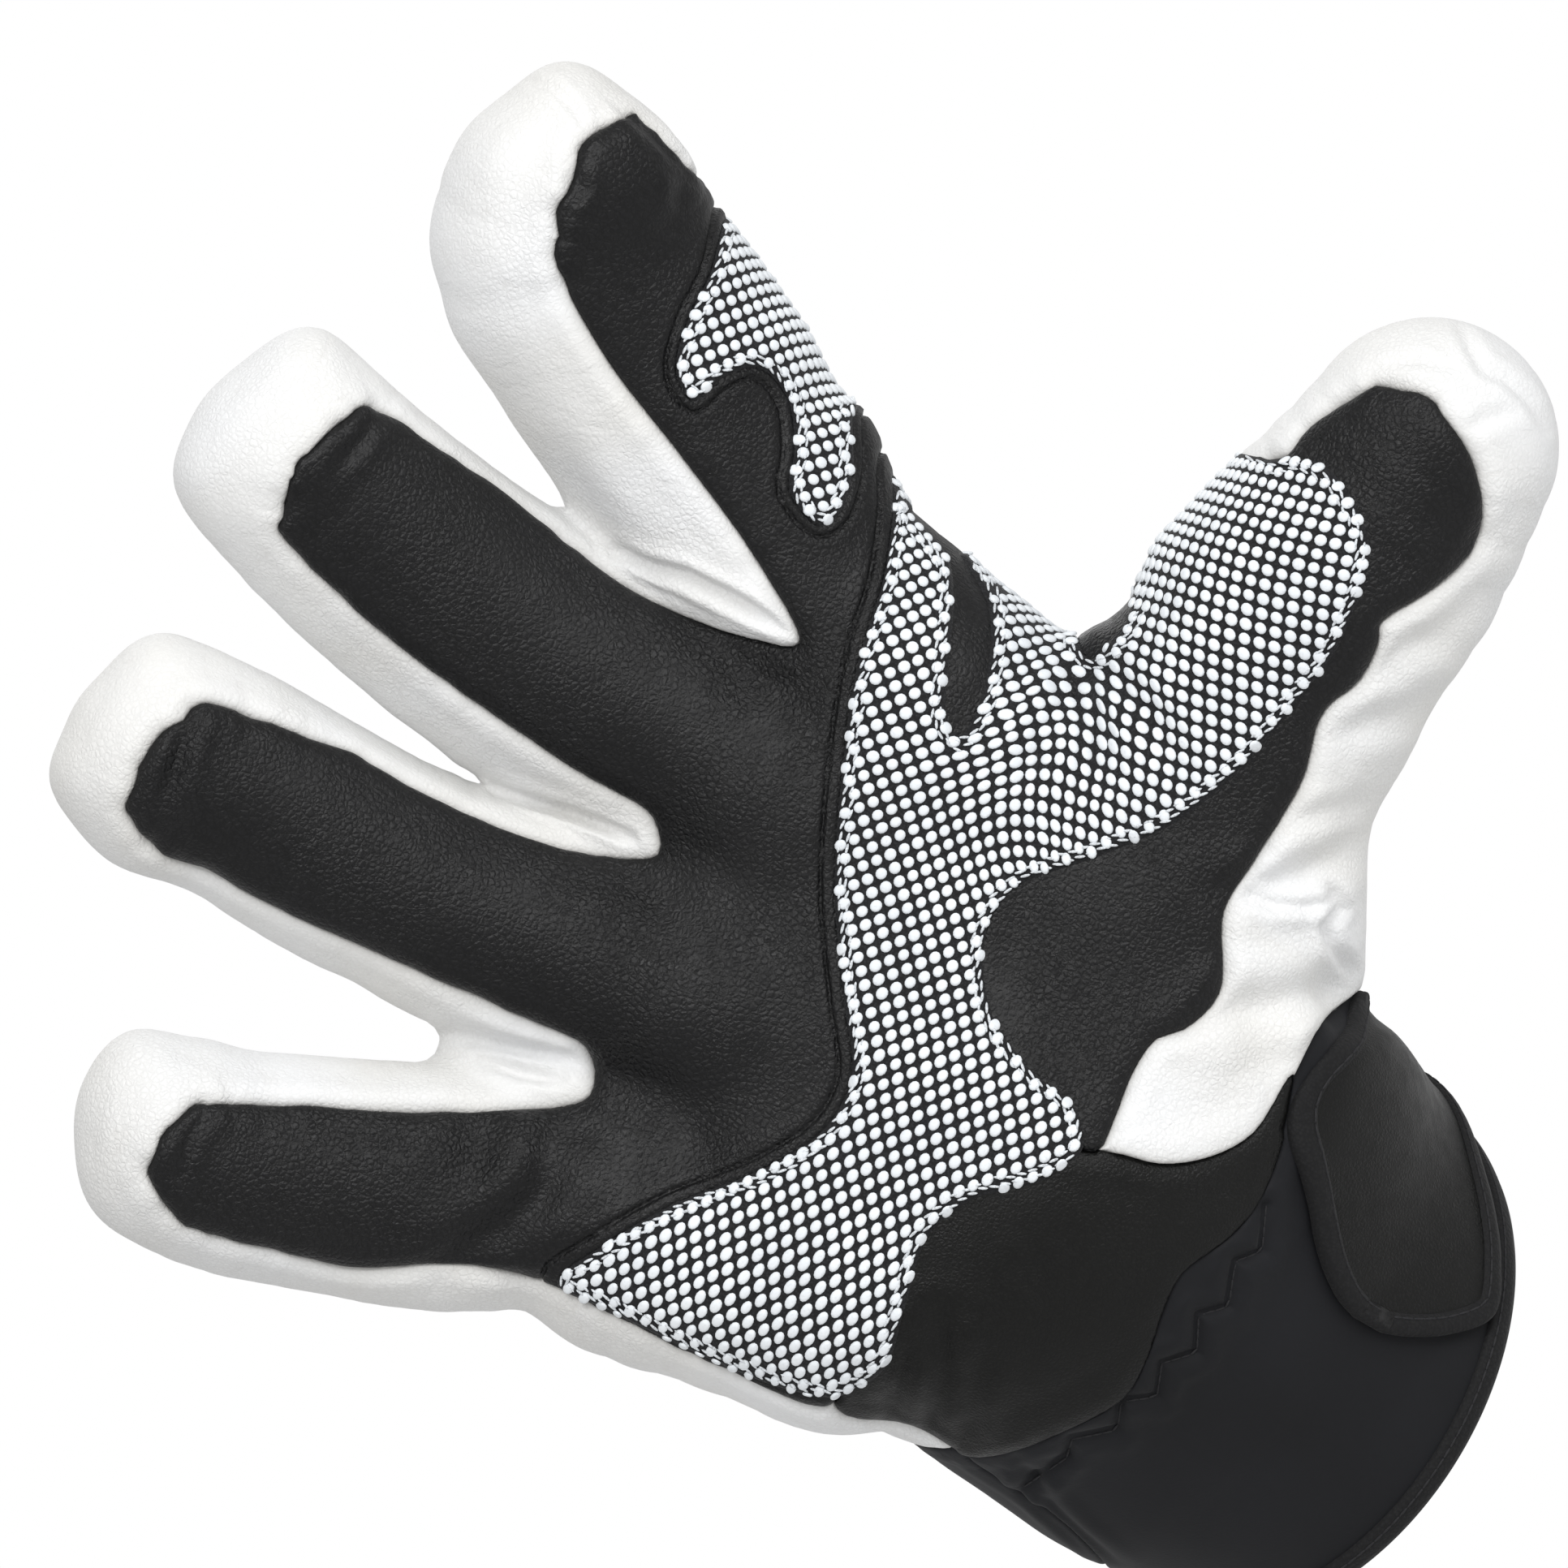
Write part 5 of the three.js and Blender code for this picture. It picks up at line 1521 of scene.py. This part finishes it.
def white_leather():
    look = Look("white_leather")
    flow, shade = look.column("flow", "Vector"), look.column("shade", "Fac")
    broad = look.noise(flow, 30, 2)
    border = look.cells(look.warped(look.place, 0.6 * MM, 0.6 * MM), 0.95 * MM, "DISTANCE_TO_EDGE")
    tight = look.ramp(look.noise(flow, 24, 2), 0.35, 0.65, 0.35, 1.0)
    lines = look.noise(flow, 4.5, 4, 0.62, 0.5)
    pores = look.noise(look.place, 0.4 * MM, 1)
    tone = look.mixed(look.ramp(broad, 0.35, 0.65), (0.725, 0.72, 0.70), (0.775, 0.78, 0.785))
    groove = look.product(look.ramp(border, 0.0, 0.16, 0.21, 0.0), tight)
    tone = look.mixed(groove, tone, (0.50, 0.49, 0.48))
    # Painted shade: the low parts of the wrinkle lines, which the bump also sinks, are darkened to a warm
    # grey.
    tone = look.mixed(look.ramp(lines, 0.25, 0.42, 0.2, 0.0), tone, (0.56, 0.54, 0.51))
    # Painted shade: the leather is darkened to warm grey in its seams and turned-in edges.
    tone = look.mixed(look.product(shade, 0.7), tone, (0.42, 0.41, 0.385))
    normal = look.bump(lines, 0.8, 0.5)
    grain = look.product(look.ramp(border, 0.0, 0.3), tight)
    normal = look.bump(grain, 0.09, 0.9, normal)
    normal = look.bump(pores, 0.05, 0.4, normal)
    look.fill(look.shader, {
        "Base Color": tone, "Roughness": look.ramp(border, 0.0, 0.3, 0.66, 0.5), "Normal": normal,
        "Specular IOR Level": 0.35, "Sheen Weight": 0.1, "Sheen Roughness": 0.5,
    })
    return look.material


def black_leather(name, grain, size, tint, gloss):
    """Dyed leather with a share of grain, the size of its pebbles, its colour and its gloss."""
    look = Look(name)
    flow, shade = look.column("flow", "Vector"), look.column("shade", "Fac")
    wander = look.noise(flow, 3.0, 2)
    pushed = look.warped(look.place, 0.5 * size * MM, 0.6 * size * MM)
    border = look.cells(pushed, size * MM, "DISTANCE_TO_EDGE")
    small = look.noise(flow, 0.4, 1)
    worn = look.ramp(look.noise(flow, 20, 2), 0.38, 0.62, 0.5, 1.0)
    dark = tuple(0.5 * c for c in tint)
    tone = look.mixed(look.ramp(border, 0.0, 0.2), dark, tint)
    # Painted shade: the leather is darkened in its seams and turned-in edges.
    tone = look.mixed(look.product(shade, 0.5), tone, dark)
    depth = look.product(look.ramp(border, 0.0, 0.32), worn)
    normal = look.bump(depth, 0.15 * grain, 0.9)
    normal = look.bump(small, 0.03, 0.5, normal)
    look.fill(look.shader, {
        "Base Color": tone, "Roughness": look.ramp(wander, 0.3, 0.7, 0.34, 0.46), "Normal": normal,
        "Specular IOR Level": gloss,
    })
    return look.material


def knit():
    look = Look("grip_knit")
    loops = look.cells(look.place, 0.42 * MM)
    return look.cloth(
        loops, (0.1, 0.6), (0.020, 0.021, 0.023), (0.008, 0.008, 0.009), (-0.15, 0.8),
        {"Roughness": 0.85, "Specular IOR Level": 0.25, "Sheen Weight": 0.1},
    )


def dot_rubber():
    look = Look("grip_dots")
    grain = look.noise(look.place, 0.45 * MM, 3)
    patch = look.noise(look.place, 14 * MM, 2)
    tone = look.mixed(look.ramp(patch, 0.35, 0.65), (0.72, 0.75, 0.78), (0.79, 0.82, 0.845))
    tone = look.mixed(look.ramp(grain, 0.3, 0.45, 0.25, 0.0), tone, (0.50, 0.53, 0.56))
    look.fill(look.shader, {
        "Base Color": tone, "Roughness": 0.6, "Normal": look.bump(grain, 0.10, 0.6),
        "Specular IOR Level": 0.3,
    })
    return look.material


def softshell():
    look = Look("softshell")
    fine = look.noise(look.place, 0.5 * MM, 2)
    broad = look.noise(look.place, 30 * MM, 2)
    tone = look.mixed(look.ramp(broad, 0.3, 0.7), (0.005, 0.0053, 0.0066), (0.0075, 0.008, 0.0102))
    look.fill(look.shader, {
        "Base Color": tone, "Roughness": 0.72, "Normal": look.bump(fine, 0.06, 0.5),
        "Specular IOR Level": 0.24, "Sheen Weight": 0.04, "Sheen Roughness": 0.4,
    })
    return look.material


def ribbed_tape():
    look = Look("ribbed_tape")
    ribs = look.cells(look.place, 0.55 * MM)
    return look.cloth(
        ribs, (0.1, 0.6), (0.009, 0.009, 0.0095), (0.0045, 0.0045, 0.005), (-0.12, 0.7),
        {"Roughness": 0.75, "Specular IOR Level": 0.25, "Sheen Weight": 0.04},
    )


def plain_thread(name, colour):
    look = Look(name)
    twist = look.noise(look.place, 0.25 * MM, 2)
    return look.cloth(
        twist, (0.35, 0.6), tuple(0.6 * c for c in colour), colour, (0.08, 0.8),
        {"Roughness": 0.7, "Specular IOR Level": 0.3},
    )


def fleece():
    look = Look("lining_fleece")
    tuft = look.noise(look.place, 1.5 * MM, 4)
    return look.cloth(
        tuft, (0.3, 0.7), (0.012, 0.012, 0.013), (0.03, 0.03, 0.032), (0.8, 0.8),
        {"Roughness": 0.95, "Sheen Weight": 0.3},
    )


def pale_floor():
    look = Look("pale_floor")
    tone = look.mixed(look.noise(look.place, 0.2), (0.80, 0.80, 0.80), (0.83, 0.83, 0.83))
    look.fill(look.shader, {"Base Color": tone, "Roughness": 0.8})
    return look.material


# Studio

# Middle of the view, distance to it and width of the view there, in mm
VIEW_CENTRE = np.array([5.64, -42.0, 116.9])
VIEW_DISTANCE = 5000.0
VIEW_WIDTH = 231.84
SENSOR = 36.0
FLOOR_SIDES = 96
FLOOR_RADIUS = 0.3  # in metres, as the next
FLOOR_Z = -0.075


def camera():
    lens = bpy.data.cameras.new("camera")
    lens.sensor_width = SENSOR
    lens.lens = SENSOR * VIEW_DISTANCE / VIEW_WIDTH
    lens.clip_start = 0.1
    lens.clip_end = 50
    made = bpy.data.objects.new("camera", lens)
    half = math.sqrt(0.5)
    right, up, back = (half, 0, -half), (half, 0, half), (0, -1, 0)
    place = (VIEW_CENTRE + np.array(back) * VIEW_DISTANCE) * MM
    made.matrix_world = Matrix([(right[i], up[i], back[i], place[i]) for i in range(3)] + [(0, 0, 0, 1)])
    bpy.context.collection.objects.link(made)
    bpy.context.scene.camera = made


# Area lights: place in metres, size in metres, power in watts
LIGHTS = [
    ((-0.6, -1.5, 1.0), 1.2, 5.5),
    ((1.0, -1.2, 0.6), 1.2, 14.0),
    ((0.1, -1.5, 0.9), 0.3, 6.5),
    ((0.2, 1.7, 1.2), 1.5, 7.0),
]
WORLD_STRENGTH = 0.6


def lights():
    for number, (place, size, power) in enumerate(LIGHTS):
        lamp = bpy.data.lights.new(f"soft_light_{number}", "AREA")
        lamp.size = size
        lamp.energy = power
        made = bpy.data.objects.new(lamp.name, lamp)
        towards = Vector(VIEW_CENTRE * MM) - Vector(place)
        turn = towards.to_track_quat("-Z", "Y").to_matrix().to_4x4()
        made.matrix_world = Matrix.Translation(place) @ turn
        bpy.context.collection.objects.link(made)
    world = bpy.data.worlds.new("white_room")
    world.use_nodes = True
    nodes, links = world.node_tree.nodes, world.node_tree.links
    shown, glow = nodes.new("ShaderNodeBackground"), nodes["Background"]
    for background, strength in ((shown, 1.0), (glow, WORLD_STRENGTH)):
        background.inputs["Color"].default_value = (1, 1, 1, 1)
        background.inputs["Strength"].default_value = strength
    path = nodes.new("ShaderNodeLightPath")
    mix = nodes.new("ShaderNodeMixShader")
    links.new(path.outputs["Is Camera Ray"], mix.inputs[0])
    links.new(glow.outputs[0], mix.inputs[1])
    links.new(shown.outputs[0], mix.inputs[2])
    links.new(mix.outputs[0], nodes["World Output"].inputs["Surface"])
    bpy.context.scene.world = world


def floor():
    turns = [2 * math.pi * k / FLOOR_SIDES for k in range(FLOOR_SIDES)]
    rim = [(FLOOR_RADIUS * math.cos(a), FLOOR_RADIUS * math.sin(a), FLOOR_Z) for a in turns]
    mesh = bpy.data.meshes.new("floor")
    mesh.from_pydata(rim, [], [tuple(range(FLOOR_SIDES))])
    mesh.materials.append(pale_floor())
    made = bpy.data.objects.new("floor", mesh)
    bpy.context.collection.objects.link(made)


# Assembly

looks = {
    "white_leather": white_leather(),
    "black_leather": black_leather("black_leather", 1.0, 1.0, (0.0055, 0.0055, 0.006), 0.27),
    "heel_leather": black_leather("heel_leather", 0.5, 0.7, (0.0028, 0.0029, 0.0025), 0.24),
    "knit": knit(),
    "dot": dot_rubber(),
    "softshell": softshell(),
    "tape": ribbed_tape(),
    "white_thread": plain_thread("white_thread", (0.72, 0.75, 0.78)),
    "black_thread": plain_thread("black_thread", (0.02, 0.02, 0.022)),
}
SLOTS = {"black": "black_leather", "white": "white_leather", "soft": "softshell"}
# Each panel's kind of relief, its look and the nodes that it stands for
PANELS = {
    "palm_panel": ("black", "black_leather", ["palm_panel", "index_front", "ring_front"]),
    "thumb_panel": ("black", "black_leather", ["thumb_panel"]),
    "heel_panel": ("black", "heel_leather", ["heel_panel"]),
    "hand_back": (
        "white", "white_leather",
        ["back_shell", "index_back", "middle_back", "ring_back", "little_back"],
    ),
    "thumb_back": ("white", "white_leather", ["thumb_back"]),
    "cuff_front": ("soft", "softshell", ["cuff_front"]),
    "cuff_back": ("soft", "softshell", ["cuff_back"]),
}


def finished(piece, slot, replaces=()):
    """Rides and stand-ins of one piece; its slot is not used."""
    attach(piece, "root")
    if replaces:
        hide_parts(*replaces)


bpy.context.scene.view_settings.view_transform = "Standard"
camera()
cut, skin = panels()
for name, mesh in cut.items():
    kind, look, nodes = PANELS[name]
    piece, places, faces = dressed(name, mesh, kind, looks[look])
    finished(piece, SLOTS[kind], nodes)
    if name == "cuff_front":
        cuff_tree = bvh(places, faces)

for name, ring, holes, seed in (
    ("grip_palm", GRIPS["palm"], [GRIPS["window"]], 11), ("grip_index", GRIPS["index"], [], 12),
):
    fabric, dots, stitches = grip_pieces(name + "_fabric", skin, ring, holes, looks, seed)
    finished(fabric, "grip_fabric", [name])
    finished(dots, "grip_fabric")
    finished(stitches, "grip_fabric")

hem, hem_stitches = hem_binding(looks["tape"], looks["black_thread"])
finished(hem, "tape", ["hem_binding"])
finished(hem_stitches, "tape")
finished(strap_tape(looks["tape"]), "tape", ["strap_binding"])
finished(strap_leather(looks["heel_leather"]), "black_leather", ["wrist_strap"])
finished(strap_stitches(looks["black_thread"]), "tape")
finished(stair_stitches(cuff_tree, looks["black_thread"]), "softshell")
finished(lining(fleece()), "softshell")

floor()
lights()
